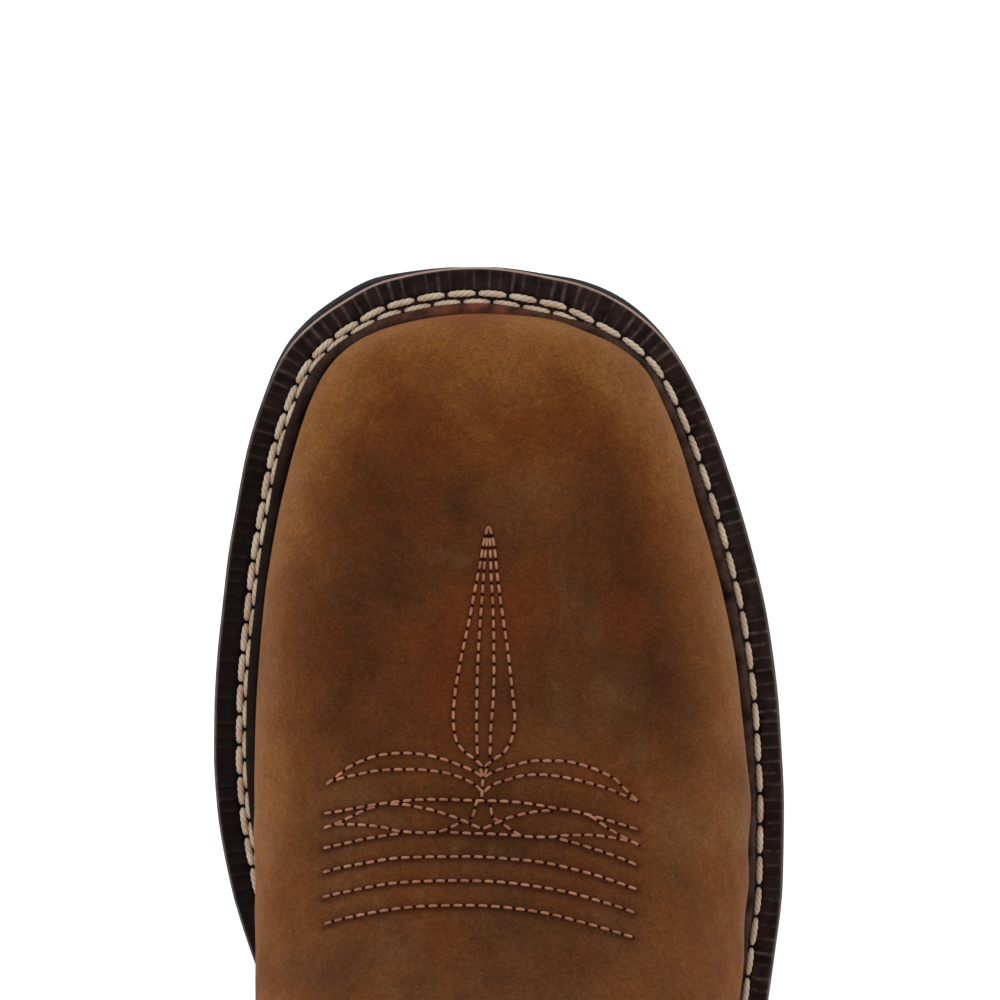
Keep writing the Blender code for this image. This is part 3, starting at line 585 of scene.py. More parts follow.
def sole_sides():
    """Fine lateral and medial edges of the welt as (out, back) points, toe to heel."""
    share = (1 - np.cos(np.linspace(0, math.pi, FINE))) / 2
    back = share * SOLE_LENGTH
    lateral = along_foot(SOLE_TABLE, "lateral", share) * SOLE_WIDTH
    medial = -along_foot(SOLE_TABLE, "medial", share) * SOLE_WIDTH
    return np.stack([lateral, -back], axis=1), np.stack([medial, -back], axis=1)


def by_side(loop, columns):
    """A table's medial or lateral value at each point of a loop, blended over the two ends."""
    share = -loop[:, 1] / SOLE_LENGTH
    lateral = along_foot(columns, "lateral", share)
    medial = along_foot(columns, "medial", share)
    side = smoothstep(-0.1, 0.1, loop[:, 0] / SOLE_WIDTH)
    return medial + (lateral - medial) * side


def split(loop):
    """The lateral and medial halves of a loop, each from toe to heel."""
    half = len(loop) // 2
    return loop[: half + 1], np.concatenate([loop[:1], loop[:half - 1:-1]])


SOLE_SIDES = sole_sides()
SOLE_LOOP = closed_loop(*SOLE_SIDES)
FEATHER_LOOP = grown(SOLE_LOOP, -WELT_MARGIN * by_side(SOLE_LOOP, MARGIN_TABLE))
FEATHER_SIDES = split(FEATHER_LOOP)
TOP_LEVEL = BOOT_HEIGHT - feather(np.array(SOLE_LENGTH))
FEATHER_TIP = -FEATHER_LOOP[0, 1]


def feather_out(side, share):
    """How far out the feather line is, at shares of its own length."""
    line = FEATHER_SIDES[side]
    start, end = line[0, 1], line[-1, 1]
    return np.interp(turn(share), turn((line[:, 1] - start) / (end - start)), line[:, 0])


def ridge_height(share):
    """Height of the ridge over the feather line, rising without end behind the throat."""
    shares, heights = RIDGE_TABLE["from_toe"], RIDGE_TABLE["height"]
    slope = THROAT_STEEPNESS * (heights[-1] - heights[-2]) / (shares[-1] - shares[-2])
    inside = along_foot(RIDGE_TABLE, "height", np.minimum(share, shares[-1]))
    return INSTEP_HEIGHT * (inside + slope * np.clip(share - shares[-1], 0, None))


def front_share(level):
    """Where the front of the upper is at a level, as a share of the leather length."""
    shares = RIDGE_TABLE["from_toe"][-1] * (1 - np.cos(np.linspace(0, math.pi / 2, FINE)))
    ridge = np.interp(level, ridge_height(shares), shares)
    shaft = up_shaft(SHAFT_TABLE, "front", level)
    return ridge + (shaft - ridge) * smoothstep(*THROAT_LEVELS, level)


def back_share(level):
    """Where the back line is at a level, as a share of the leather length."""
    return up_shaft(BACK_TABLE, "from_toe", level)


def foot_contour(level, side):
    """Plan line of the foot part at one level, toe to heel, on the lateral (0) or medial (1) side."""
    tip_bulge = BULGE_HEIGHT * FOOT_TABLE["bulge"][0]
    tuck = np.clip(1 - level / tip_bulge, 0, 1) ** 2
    front = front_share(max(level, tip_bulge)) + tuck * (FEATHER_TIP - TOE_BAND) / LEATHER_LENGTH
    back = back_share(level)
    share = front + (back - front) * (1 - np.cos(np.linspace(0, math.pi, FINE))) / 2
    station = share + (1 - back) * smoothstep(0.7, 1.0, share)
    if tuck > 0:
        station = station - front * (1 - smoothstep(0, 0.15, share))
    widest = WAYS[side] * LEATHER_WIDTH * along_foot(FOOT_TABLE, SIDES[side], station)
    centre = LEATHER_WIDTH * along_foot(FOOT_TABLE, "ridge", station)
    bulge = BULGE_HEIGHT * along_foot(FOOT_TABLE, "bulge", station)
    full = along_foot(FOOT_TABLE, "fullness", station)
    top = ridge_height(share)
    rise = np.clip((level - bulge) / np.maximum(top - bulge, 1e-5), 0, 1)
    round_in = (1 - rise**full) ** (1 / full)
    over = centre + (widest - centre) * round_in
    under = widest - (widest - feather_out(side, station)) * np.clip(1 - level / bulge, 0, 1) ** 2
    out = np.where(level < bulge, under, over)
    return np.stack([out, -(TOE_BAND + share * LEATHER_LENGTH)], axis=1)


def shaft_contour(level, side):
    """Plan line of the shaft's oval at one level, front to back, on one side."""
    front, back = front_share(level), back_share(level)
    width = COLLAR_WIDTH * up_shaft(SHAFT_TABLE, "width", level)
    angle = np.linspace(0, math.pi, FINE)
    power = 2 / SHAFT_SQUARENESS
    out = WAYS[side] * width / 2 * np.sin(angle) ** power + SHAFT_SHIFT
    along = (1 - np.sign(np.cos(angle)) * np.abs(np.cos(angle)) ** power) / 2
    return np.stack([out, -(TOE_BAND + (front + (back - front) * along) * LEATHER_LENGTH)], axis=1)


def contour(level, shares):
    """Closed plan loop of the upper at a level, at shares round each side from front to back.

    The share of one half is the side seam, which stands straight above the vamp line.
    """
    blend = smoothstep(SHAFT_BLEND[0], SHAFT_BLEND[1], level / TOP_LEVEL)
    straight = smoothstep(0, SEAM_START * INSTEP_HEIGHT, level)
    even = np.linspace(0, 1, FINE)
    sides = []
    for side in (0, 1):
        foot = resample(foot_contour(level, side), even)
        oval = resample(shaft_contour(level, side), even)
        line = foot + (oval - foot) * blend
        run = run_along(line)
        upright = np.interp(SEAM_FROM_TOE * SOLE_LENGTH, -line[:, 1], run / run[-1])
        seam = 0.5 + (upright - 0.5) * straight
        sides.append(resample(line, np.interp(shares, (0, 0.5, 1), (0, seam, 1))))
    return closed_loop(*sides)


def collar_side_length():
    """Length of one side of the upper's contour at the top level."""
    return run_along(contour(TOP_LEVEL, np.linspace(0, 1, FINE))[:FINE])[-1]


def round_shares(side_length):
    """Shares round one side: close together over the toe and vamp, with columns for the seam and strap."""
    strap = STRAP_WIDTH / 2 / side_length
    even = np.linspace(0, 1, FRONT_COLUMNS)
    front = (0.5 - strap) * (0.52 * even + 0.48 * even**2)
    even = np.linspace(1, 0, HEEL_COLUMNS)
    back = 1 - (0.5 - strap) * (0.7 * even + 0.3 * even**2)
    middle = 0.5 + strap * np.linspace(-1, 1, MIDDLE_COLUMNS)[1:-1]
    return np.concatenate([front, middle, back])


def loop_values(values):
    """Values of one side's columns, laid out round the whole loop."""
    return np.concatenate([values, values[-2:0:-1]])


def collar_height(shares):
    """Height of the scalloped top edge: high at the sides, dipped at the front and back."""
    wave = (0.5 + 0.5 * np.cos(2 * math.pi * shares)) ** 1.4
    dip = np.where(shares < 0.5, FRONT_DIP, BACK_DIP)
    return BOOT_HEIGHT - dip * wave


def raised(loop, height, extra=0.0):
    """A plan loop lifted to a height that follows its distance back from the toe."""
    return np.column_stack([loop, height(-loop[:, 1]) + extra])


def station_loop(loop):
    """The loop at facing points of both sides: close together at toe and heel, apart between."""
    front, end = loop[0, 1], loop[len(loop) // 2, 1]
    along = front + (end - front) * (1 - np.cos(np.linspace(0, math.pi, OUTLINE_POINTS + 1))) / 2
    sides = [np.column_stack([np.interp(-along, -side[:, 1], side[:, 0]), along]) for side in split(loop)]
    return closed_loop(*sides)


def boot_shift():
    """From the plan's axis and toe tip to where the welt stands in the frame."""
    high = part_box("welt")[1]
    return np.array([high[0] - SOLE_LOOP[:, 0].max(), high[1] - SOLE_LOOP[:, 1].max(), 0.0])


class Skin:
    """Outer surface of the upper, read at shares round each side and at levels over the feather line."""

    def __init__(self):
        self.side_length = collar_side_length()
        self.shares = round_shares(self.side_length)
        low = np.linspace(0, 0.25 * TOP_LEVEL, 320)
        high = np.linspace(0.25 * TOP_LEVEL, 1.2 * TOP_LEVEL, 180)
        self.levels = np.concatenate([low, high[1:]])
        self.plans = np.stack([contour(level, self.shares) for level in self.levels])
        self.count = self.plans.shape[1]
        height = smooth_curve(VAMP_TABLE["round"], VAMP_TABLE["height"], self.shares)
        self.line = loop_values(INSTEP_HEIGHT * height)
        self.collar = loop_values(collar_height(self.shares))
        self.leg = self.level_at(self.collar - STRAP_LEG)
        self.top = self.level_at(self.collar)

    def place(self, index, levels):
        """Points of one column at levels."""
        plan = self.plans[:, index]
        out = np.interp(levels, self.levels, plan[:, 0])
        along = np.interp(levels, self.levels, plan[:, 1])
        return np.stack([out, along, feather(-along) + levels], axis=1)

    def level_at(self, heights):
        """The level of each column where it reaches a height over the ground."""
        levels = []
        for index in range(self.count):
            fine = np.linspace(self.line[index], 1.15 * TOP_LEVEL, FINE)
            levels.append(np.interp(heights[index], self.place(index, fine)[:, 2], fine))
        return np.array(levels)

    def grid(self, columns, levels):
        """Points at rows of levels, one level for each column."""
        lines = [self.place(c, levels[:, i]) for i, c in enumerate(columns)]
        return np.stack(lines, axis=1)

    def foot(self, columns, spread):
        """Rows from the feather line to the vamp and counter line, at shares of each column's length."""
        lines = []
        for index in columns:
            fine = self.place(index, np.linspace(0, self.line[index], FINE))
            lines.append(resample(fine, spread))
        return np.stack(lines, axis=1)


def front_columns(skin, reach):
    """Columns from the outer side round the toe to the inner side, up to a share of each side."""
    side = np.flatnonzero(skin.shares <= reach)
    return [int(i) for i in side[::-1]] + [skin.count - int(i) for i in side[1:]]


def heel_columns(skin, start):
    """Columns from the outer side round the heel to the inner side, from a share of each side on."""
    side = np.flatnonzero(skin.shares >= start)
    return [int(i) for i in side] + [skin.count - int(i) for i in side[-2::-1]]


def strap_columns(skin, side, width):
    """Columns within half a width of the side seam on one side."""
    near = np.abs(skin.shares - 0.5) <= width / 2 / skin.side_length + 1e-6
    columns = np.flatnonzero(near).tolist()
    return [skin.count - c for c in columns] if side else columns


def unit(vectors):
    """The same directions with length 1."""
    return vectors / np.maximum(np.linalg.norm(vectors, axis=-1, keepdims=True), 1e-12)


def bell(distance, width):
    """1 at no distance, falling smoothly to 0 over a few widths."""
    return np.exp(-((distance / width) ** 2))


def grid_normals(points, wrap=False):
    """Directions out of a grid of rows that go up and columns that go round from the outer side."""
    if wrap:
        around = np.roll(points, -1, axis=1) - np.roll(points, 1, axis=1)
    else:
        around = np.gradient(points, axis=1)
    return unit(np.cross(np.gradient(points, axis=0), around))


def grid_faces(rows, columns, wrap=False, ring=False):
    """Quads of a grid, closed round its columns where it wraps and round its rows for a ring."""
    index = np.arange(rows * columns).reshape(rows, columns)
    if wrap:
        index = np.concatenate([index, index[:, :1]], axis=1)
    if ring:
        index = np.concatenate([index, index[:1]])
    quads = np.stack([index[:-1, :-1], index[:-1, 1:], index[1:, 1:], index[1:, :-1]], axis=-1)
    return quads.reshape(-1, 4)


def link(name, data, place=(0, 0, 0)):
    """An object in the scene for a mesh, lamp or camera."""
    thing = bpy.data.objects.new(name, data)
    thing.location = place
    bpy.context.scene.collection.objects.link(thing)
    return thing


def new_mesh(name, points, faces, material):
    """A mesh from plan points, moved to where the boot stands."""
    mesh = bpy.data.meshes.new(name)
    points = np.asarray(points, dtype=float).reshape(-1, 3) + SHIFT
    mesh.from_pydata(points.tolist(), [], faces if isinstance(faces, list) else faces.tolist())
    mesh.materials.append(material)
    return mesh


def add_mesh(name, points, faces, material, sharp=None):
    """A smooth piece that rides on the boot's body, with edges kept over the sharp angle."""
    mesh = new_mesh(name, points, faces, material)
    mesh.shade_smooth()
    if sharp:
        mesh.set_sharp_from_angle(angle=math.radians(sharp))
    thing = link(name, mesh)
    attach(thing, "root")
    return thing


def face_out(thing):
    """Turns the faces of a piece outwards."""
    work = bmesh.new()
    work.from_mesh(thing.data)
    bmesh.ops.recalc_face_normals(work, faces=work.faces)
    work.to_mesh(thing.data)
    work.free()


def set_values(thing, **fields):
    """Numbers for each point, which the materials read by name."""
    for name, values in fields.items():
        attribute = thing.data.attributes.new(name, "FLOAT", "POINT")
        attribute.data.foreach_set("value", np.asarray(values, dtype=np.float32).ravel())


def with_rim(points, normals, values):
    """More rows past the last one: the leather's cut edge, which rounds over and tucks in."""
    ahead = unit(points[-1] - points[-2])
    extra = np.stack([points[-1] + OVERLAY * (a * ahead + b * normals[-1]) for a, b in RIM_STEPS])
    more = np.repeat(normals[-1:], len(RIM_STEPS), axis=0)
    marks = np.repeat(values[-1:], len(RIM_STEPS), axis=0)
    marks[1:] = EDGE_MARK
    return [np.concatenate(pair) for pair in ((points, extra), (normals, more), (values, marks))]


def turned(grids):
    """Grids with rows and columns swapped."""
    return [np.swapaxes(grid, 0, 1) for grid in grids]


def flipped(grids):
    """Grids with their rows in the other order."""
    return [grid[::-1] for grid in grids]


def curve(points):
    """A smooth line through plan points in millimetres, at even spacing, in metres."""
    mm = np.array(points) * (0.001, -0.001)
    padded = np.concatenate([[2 * mm[0] - mm[1]], mm, [2 * mm[-1] - mm[-2]]])
    pieces = []
    t = np.linspace(0, 1, 12, endpoint=False)[:, None]
    for a, b, c, d in zip(padded, padded[1:], padded[2:], padded[3:]):
        square = (2 * a - 5 * b + 4 * c - d) * t**2
        cube = (3 * b - 3 * c + d - a) * t**3
        pieces.append(0.5 * (2 * b + (c - a) * t + square + cube))
    line = np.concatenate(pieces + [mm[-1:]])
    count = max(3, int(run_along(line)[-1] / CURVE_SPACING))
    return resample(line, np.linspace(0, 1, count))


def cloud(points):
    """A search tree of points in space."""
    tree = KDTree(len(points))
    for i, point in enumerate(points):
        tree.insert(Vector(point), i)
    tree.balance()
    return tree


def nearest(points, lines):
    """Distance in plan from each point of a grid to the nearest of some curves."""
    tree = cloud([(x, y, 0) for line in lines for x, y in curve(line)])
    flat = points.reshape(-1, 3).tolist()
    return np.array([tree.find((x, y, 0))[2] for x, y, _ in flat]).reshape(points.shape[:2])


def uneven(points, *layers):
    """Gentle unevenness of a grid: layers of a height, a size of the bumps and a seed."""
    relief = 0
    flat = points.reshape(-1, 3).tolist()
    for height, size, seed in layers:
        start = Vector((seed, 0, 0))
        relief = relief + height * np.array([noise.noise(Vector(p) / size + start) for p in flat])
    return relief.reshape(points.shape[:2])


def fold(points, path, width, depth):
    """A soft crease along a path of 3D points: a trough with a low ridge on both sides."""
    gaps = np.stack([np.linalg.norm(points - place, axis=-1) for place in path])
    distance = gaps.min(axis=0)
    run = gaps.argmin(axis=0) / (len(path) - 1)
    fade = np.sin(math.pi * np.clip(run, 0.02, 0.98)) ** 0.7
    ridge = bell(distance - 2.1 * width, 1.1 * width)
    return depth * fade * (0.5 * ridge - bell(distance, width))


def creases(points):
    """All the soft creases of the upper, as a height for each point."""
    relief = np.zeros(points.shape[:-1])
    for path, width, depth in FOLDS:
        line = resample(np.array(path) * (0.001, -0.001, 0.001), np.linspace(0, 1, 40))
        relief += fold(points, line, width, depth)
    return relief


def waist(points):
    """The sides of the vamp drawn in behind the ball, as a height for each point."""
    x, back, level = points[..., 0], -points[..., 1], points[..., 2]
    along = smoothstep(0.098, 0.140, back) * (1 - smoothstep(0.165, 0.205, back))
    sides = WAIST[0] * smoothstep(0.028, 0.044, x) + WAIST[1] * smoothstep(-0.028, -0.044, x)
    return -sides * along * (1 - smoothstep(0.055, 0.085, level))


def vamp_relief(points, normals):
    """How far the vamp lies in or out, and the shadow along its stitches.

    It is sunk along each stitched line, puffed between, rolled at the rows across and creased at the sides.
    """
    to_lines = nearest(points, FLAME + LEAVES + WRINKLES)
    to_rows = nearest(points, WRINKLES + LEAVES[4:5])
    relief = -STITCH_SINK * bell(to_lines, STITCH_TROUGH) - ROLL_DEPTH * bell(to_rows, ROLL_WIDTH)
    relief *= smoothstep(0.25, 0.7, np.clip(normals[..., 2], 0, 1))
    relief += uneven(points, (0.00014, 0.021, 3.1), (0.00005, 0.007, 8.7))
    shadow = 0.50 * bell(to_lines, 0.0007) + 0.50 * bell(to_rows, 0.0010)
    return relief + creases(points) + waist(points), shadow


def vamp_tone(points):
    """The vamp's tone, from 0 in its dark middle to 1 at its pale rims, and where it is red or dusty; the
    rims are part burnish, part painted light.
    """
    x, back = points[..., 0], -points[..., 1]
    toe = 1 - smoothstep(0.004, 0.047, back + 0.06 * np.abs(x - TOE_AXIS))
    places, inner, outer = 0.001 * np.array(SIDE_EDGE).T
    # Painted light: a pale band low on each side, where light falls on the steep leather by the welt
    left = 1 - smoothstep(0, 0.019, x + np.interp(back, places, inner))
    right = 1 - smoothstep(0, 0.017, np.interp(back, places, outer) - x)
    sides = np.maximum(left, right)
    low = smoothstep(0.100, 0.150, back)
    inner_fade = 0.35 * smoothstep(0.100, 0.140, back) * (x < 0)
    outer_fade = 0.50 * smoothstep(0.078, 0.135, back) * (x > 0)
    tone = 0.46 + 0.58 * toe + 0.49 * sides * (1 - inner_fade - outer_fade)
    tone += low * (0.08 + 0.02 * smoothstep(-0.015, -0.035, x) + 0.14 * smoothstep(0.015, 0.035, x))
    patch = -0.25 * (sides * (1 - low) + low * (1 - sides))
    for out, place, size, change, kind in PATCHES:
        near = bell(np.hypot(x - 0.001 * out, back - 0.001 * place), 0.001 * size)
        tone += change * near
        patch += kind * near
    rear = smoothstep(0.150, 0.200, back)
    # The creases add painted shade in their troughs and paler ridges
    tone = np.clip(tone, 0, 1) * (1 - rear) + REAR_TONE * rear + CREASE_SHADE_AND_PULL_UP * creases(points)
    return tone, patch * (1 - rear)


def shaft_tone(points):
    """The shaft's tone: a little paler over the ankle and at the collar, with painted shade in the creases'
    troughs and paler ridges.
    """
    level = points[..., 2]
    tone = 0.44 + 0.14 * bell(level - 0.12, 0.03) + CREASE_SHADE_AND_PULL_UP * creases(points)
    return tone + 0.10 * smoothstep(0.27, 0.32, level)


def foot_grid(skin, columns, spread, way):
    """Rows of the foot's surface, the ways out of it, and how free each row is of the feather line."""
    points = skin.foot(columns, spread)
    normals = way * grid_normals(points)
    normals[0, :, 2] = np.minimum(normals[0, :, 2], 0)
    return points, unit(normals), smoothstep(0, FEATHER_HOLD, spread)[:, None]


def make_vamp(skin, leather):
    """The vamp, round the toe from side to side, with its ends under the counter."""
    columns = front_columns(skin, 0.5 + VAMP_LAP)
    spread = np.interp(np.linspace(0, 1, VAMP_ROWS), (0, 0.17, 0.76, 1), (0, 0.2, 0.6, 1))
    points, normals, hold = foot_grid(skin, columns, spread, -1)
    tone, patch = vamp_tone(points)
    relief, shadow = vamp_relief(points, normals)
    share = np.array([skin.shares[min(c, skin.count - c)] for c in columns])
    under = smoothstep(0.5 - 2.6 * VAMP_LAP, 0.5 - 1.6 * VAMP_LAP, share)
    points = points + normals * (relief * hold - OVERLAY * 0.8 * under)[..., None]
    points, normals, tone = with_rim(points, normals, tone)
    rim = np.zeros((len(RIM_STEPS), len(columns)))
    vamp = add_mesh("vamp", points, grid_faces(*points.shape[:2]), leather)
    face_out(vamp)
    set_values(vamp, tone=tone, shadow=np.concatenate([shadow, rim]), patch=np.concatenate([patch, rim]))
    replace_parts(vamp, "upper")
    return vamp


def make_counter(skin, leather):
    """The counter, round the heel from side to side, with a cut edge on top and at both ends."""
    columns = heel_columns(skin, 0.5 - VAMP_LAP)
    points, normals, hold = foot_grid(skin, columns, np.linspace(0, 1, COUNTER_ROWS), 1)
    relief = uneven(points, (0.00016, 0.024, 5.2), (0.00005, 0.008, 1.3)) + creases(points) + waist(points)
    points = points + normals * (relief * hold)[..., None]
    # Painted shade in the creases' troughs, paler ridges
    tone = REAR_TONE + 0.15 * smoothstep(0.06, 0.04, points[..., 2]) + CREASE_SHADE_AND_PULL_UP * creases(points)
    tone -= 0.10 * smoothstep(0.24, 0.29, -points[..., 1])
    grids = with_rim(points, normals, tone)
    grids = with_rim(*turned(grids))
    grids = turned(flipped(with_rim(*flipped(grids))))
    counter = add_mesh("counter", grids[0], grid_faces(*grids[0].shape[:2]), leather)
    face_out(counter)
    set_values(counter, tone=grids[2])
    return counter


def make_shaft(skin, leather):
    """The shaft, from under the vamp and counter to the collar."""
    rise = np.linspace(0, 1, SHAFT_FINE_ROWS)[:, None]
    low = skin.line - SHAFT_TUCK * np.minimum(1, skin.line / 0.05)
    points = skin.grid(range(skin.count), low + (skin.top - low) * rise)
    normals = grid_normals(points, True)
    free = smoothstep(0, 0.06, rise) * (1 - smoothstep(0.93, 1, rise))
    relief = uneven(points, (0.00032, 0.045, 2.2), (0.00010, 0.012, 6.4)) + creases(points)
    outer = points + normals * (relief * free - OVERLAY)[..., None]
    inner = outer[::3] - normals[::3] * SHAFT_LEATHER
    rings = np.concatenate([outer, inner[::-1]])
    shaft = add_mesh("shaft", rings, grid_faces(*rings.shape[:2], True), leather, 60)
    face_out(shaft)
    set_values(shaft, tone=np.concatenate([shaft_tone(outer), np.full(inner.shape[:2], 0.3)]))
    return shaft


def make_lining(skin, lining):
    """The lining inside the foot and the shaft, on every second column."""
    columns = list(range(0, skin.count, 2))
    even = np.linspace(0, 1, LINING_FOOT_ROWS)
    rise = np.linspace(0, 1, LINING_SHAFT_ROWS)[1:, None]
    line = skin.line[columns]
    shaft = skin.grid(columns, line + (skin.top[columns] - line) * rise)
    points = np.concatenate([skin.foot(columns, even), shaft])
    normals = grid_normals(points, True)
    normals[0, :, 2] = 0
    normals = unit(normals)
    hold = smoothstep(0, FEATHER_HOLD, even)
    free = np.concatenate([hold, 1 - smoothstep(0.9, 1.0, rise[:, 0])])[:, None]
    relief = ((creases(points) + waist(points)) * free)[..., None]
    outer = points + normals * (relief - OVERLAY - SHAFT_LEATHER)
    inner = points + normals * (relief - UPPER_WALL)
    rings = np.concatenate([outer, inner[::-1]])
    add_mesh("lining", rings, grid_faces(*rings.shape[:2], True), lining)


def make_binding(skin, trim):
    """Folded strip over the collar's edge; returns the track of its stitches."""
    depths = BINDING_DEPTH * np.array([1, 0.97, 0.6]), np.array([0.0022, 0.0008, 0])
    levels = np.stack([skin.level_at(skin.collar - depth) for depth in np.concatenate(depths)])
    points = skin.grid(range(skin.count), levels)
    normals = grid_normals(points, True)
    proud = BINDING_RISE * np.array([0.0, 0.8, 1.0, 1.0, 0.75, 0.3])[:, None, None]
    outer = points + normals * (proud - OVERLAY)
    inner = points - normals * (proud * 0.7 + UPPER_WALL)
    crown = []
    for t in (0.15, 0.5, 0.85):
        rise = 0.9 * BINDING_RISE * math.sqrt(math.sin(math.pi * t))
        crown.append(outer[-1] * (1 - t) + inner[-1] * t + (0, 0, rise))
    rings = np.concatenate([outer, np.stack(crown), inner[::-1]])
    binding = add_mesh("collar_binding", rings, grid_faces(*rings.shape[:2], True), trim)
    set_values(binding, tone=np.full(rings.shape[:2], 0.2))
    line = np.concatenate([outer[2], outer[2][:1]])
    return line, unit((line - outer[2].mean(axis=0)) * (1, 1, 0))


def welt_frame(shares):
    """At shares round the welt's edge: plan place, way out and distance in to the feather line.

    The last value is the edge's whole length.
    """
    closed = np.concatenate([SOLE_LOOP, SOLE_LOOP[:1]])
    out = outward(SOLE_LOOP)
    margin = WELT_MARGIN * by_side(SOLE_LOOP, MARGIN_TABLE)
    data = np.column_stack([closed, np.append(out, out[:1], axis=0), np.append(margin, margin[:1])])
    run = run_along(closed)
    data = read_line(data, run, run[-1] * np.asarray(shares))
    return data[:, :2], unit(data[:, 2:4]), data[:, 4], run[-1]


def one_row(edge):
    """1 at the outer side, where one stitch row runs close beside the bead, and 0 where two rows show."""
    return smoothstep(0.012, 0.022, edge[:, 0])


def welt_zones(edge, margin):
    """How far in from the welt's edge the ribbed strip ends and the bead starts and ends."""
    x, back = edge[:, 0], -edge[:, 1]
    single = one_row(edge)
    lateral = smoothstep(-0.02, 0.03, x) * smoothstep(0.003, 0.020, back)
    toe = smoothstep(0.020, 0.006, back) * smoothstep(0.034, 0.016, np.abs(x - TOE_AXIS))
    strip = RIB_STRIP + (0.0009 + 0.0008 * toe) * single - (0.0002 + 0.00105 * single) * lateral
    strip = np.minimum(strip, (0.42 + 0.06 * single) * margin)
    rows = (0.00200 - 0.00045 * lateral + 0.00080 * toe) * (1 - single) + 0.0015 * single
    start = np.minimum(strip + rows, 0.72 * margin)
    end = np.minimum(start + BEAD_WIDTH, margin)
    return strip, start, end


def make_welt(material):
    """The welt's closed ring: inner wall, bead, stitch channel, ribbed strip and outer edge."""
    ribs = round(welt_frame([0])[3] / RIB_PITCH)
    phase = (np.arange(ribs)[:, None] + np.array(RIB_PHASES)).ravel()
    of_rib = np.round(phase) % ribs
    uneven_rib = np.array([noise.noise((k * 0.83, 0.5, 0.0)) for k in of_rib])
    crest = bell(np.sin(math.pi * phase), RIB_CREST) * np.clip(0.8 + 0.7 * uneven_rib, 0.4, 1.2)
    block = np.abs(np.sin(math.pi * phase)) ** 0.7
    slide = 0.32 / ribs * np.array([noise.noise((k * 0.71, 4.5, 0.0)) for k in of_rib])
    edge, out, margin, _ = welt_frame((phase / ribs + slide) % 1.0)
    strip, bead_start, bead_end = welt_zones(edge, margin)
    top, bottom = welt_top(-edge[:, 1]), welt_bottom(-edge[:, 1])
    rings = []

    def ring(inset, height, rib=0.0, bead=0.0):
        """A line round the welt with its share of rib and bead: out, along, up, rib, bead."""
        plan = edge - out * np.reshape(inset, (-1, 1))
        shares = np.broadcast_to(rib, len(edge)), np.full(len(edge), bead)
        rings.append(np.column_stack([plan, height, *shares]))

    wall = margin + 0.6 * UPPER_WALL
    ring(wall, bottom)
    ring(wall, top)
    for t in np.linspace(0, 1, 11):
        inset = bead_end - (bead_end - bead_start) * (1 - math.cos(math.pi * t)) / 2
        ring(inset, top - 0.0002 + 0.92 * BEAD_HEIGHT * math.sin(math.pi * t) ** 0.65, bead=1.0)
    sink = WELT_CHANNEL * smoothstep(0.0006, 0.002, bead_start - strip)
    for t in (0.06, 0.3, 0.7, 0.94):
        ring(bead_start + (strip - bead_start) * t, top - sink)
    for t in (0.0, 0.04, 0.12, 0.3, 0.5, 0.7, 0.86, 0.95):
        rise = RIB_HEIGHT * min(1.0, 6 * t + 0.35) * (0.6 * block + crest)
        ring(strip * (1 - t) + 0.00025 * t, top + rise - 0.00008, crest)
    ring(0.0, top - 0.0003 + 0.4 * RIB_HEIGHT * crest, crest)
    ring(0.0, top - 0.0009)
    ring(0.0, bottom + 0.0003)
    ring(0.0003, bottom)
    data = np.stack(rings)
    points = data[..., :3]
    welt = add_mesh("welt_strip", points, grid_faces(*data.shape[:2], True, True), material)
    face_out(welt)
    x, back = points[..., 0], -points[..., 1]
    front = 0.75 * smoothstep(0.045, 0.015, back)
    # Painted light: the welt lit on the outer side and at the toe, in painted shade on the inner side; the
    # materials read it as outer
    lit = 0.15 + 0.85 * np.maximum(smoothstep(-0.03, 0.02, x), front)
    worn = bell(x - TOE_AXIS, 0.014) * smoothstep(0.030, 0.012, back)
    set_values(welt, rib=data[..., 3], bead=data[..., 4], worn=worn, outer=lit)
    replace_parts(welt, "welt")


def welt_tracks():
    """Lines of the two stitch rows on the welt, with the run of the outer row for both.

    The inner row ends under the bead at the outer side.
    """
    edge, out, margin, _ = welt_frame(np.arange(3000) / 3000)
    strip, bead_start, _ = welt_zones(edge, margin)
    back = -edge[:, 1]
    channel = bead_start - strip
    single = one_row(edge)
    outer = strip + 0.00025 + 0.22 * channel * (1 - single) + 0.00055 * single
    inner = bead_start - 0.15 * (channel - 0.0013) + 0.0007 * single
    lines = []
    for inset, low in ((outer, 0.0), (inner, -0.0001)):
        line = np.column_stack([edge - out * inset[:, None], welt_top(back) + low])
        lines.append(np.roll(line, -int(np.argmax(back)), axis=0))
    run = run_along(lines[0])
    tracks = []
    for line, (reach, side) in zip(lines, WELT_ROW_ENDS):
        kept = (-line[:, 1] < reach) & (line[:, 0] < side)
        tracks.append((line[kept], np.tile((0.0, 0.0, 1.0), (kept.sum(), 1)), run[kept]))
    return tracks


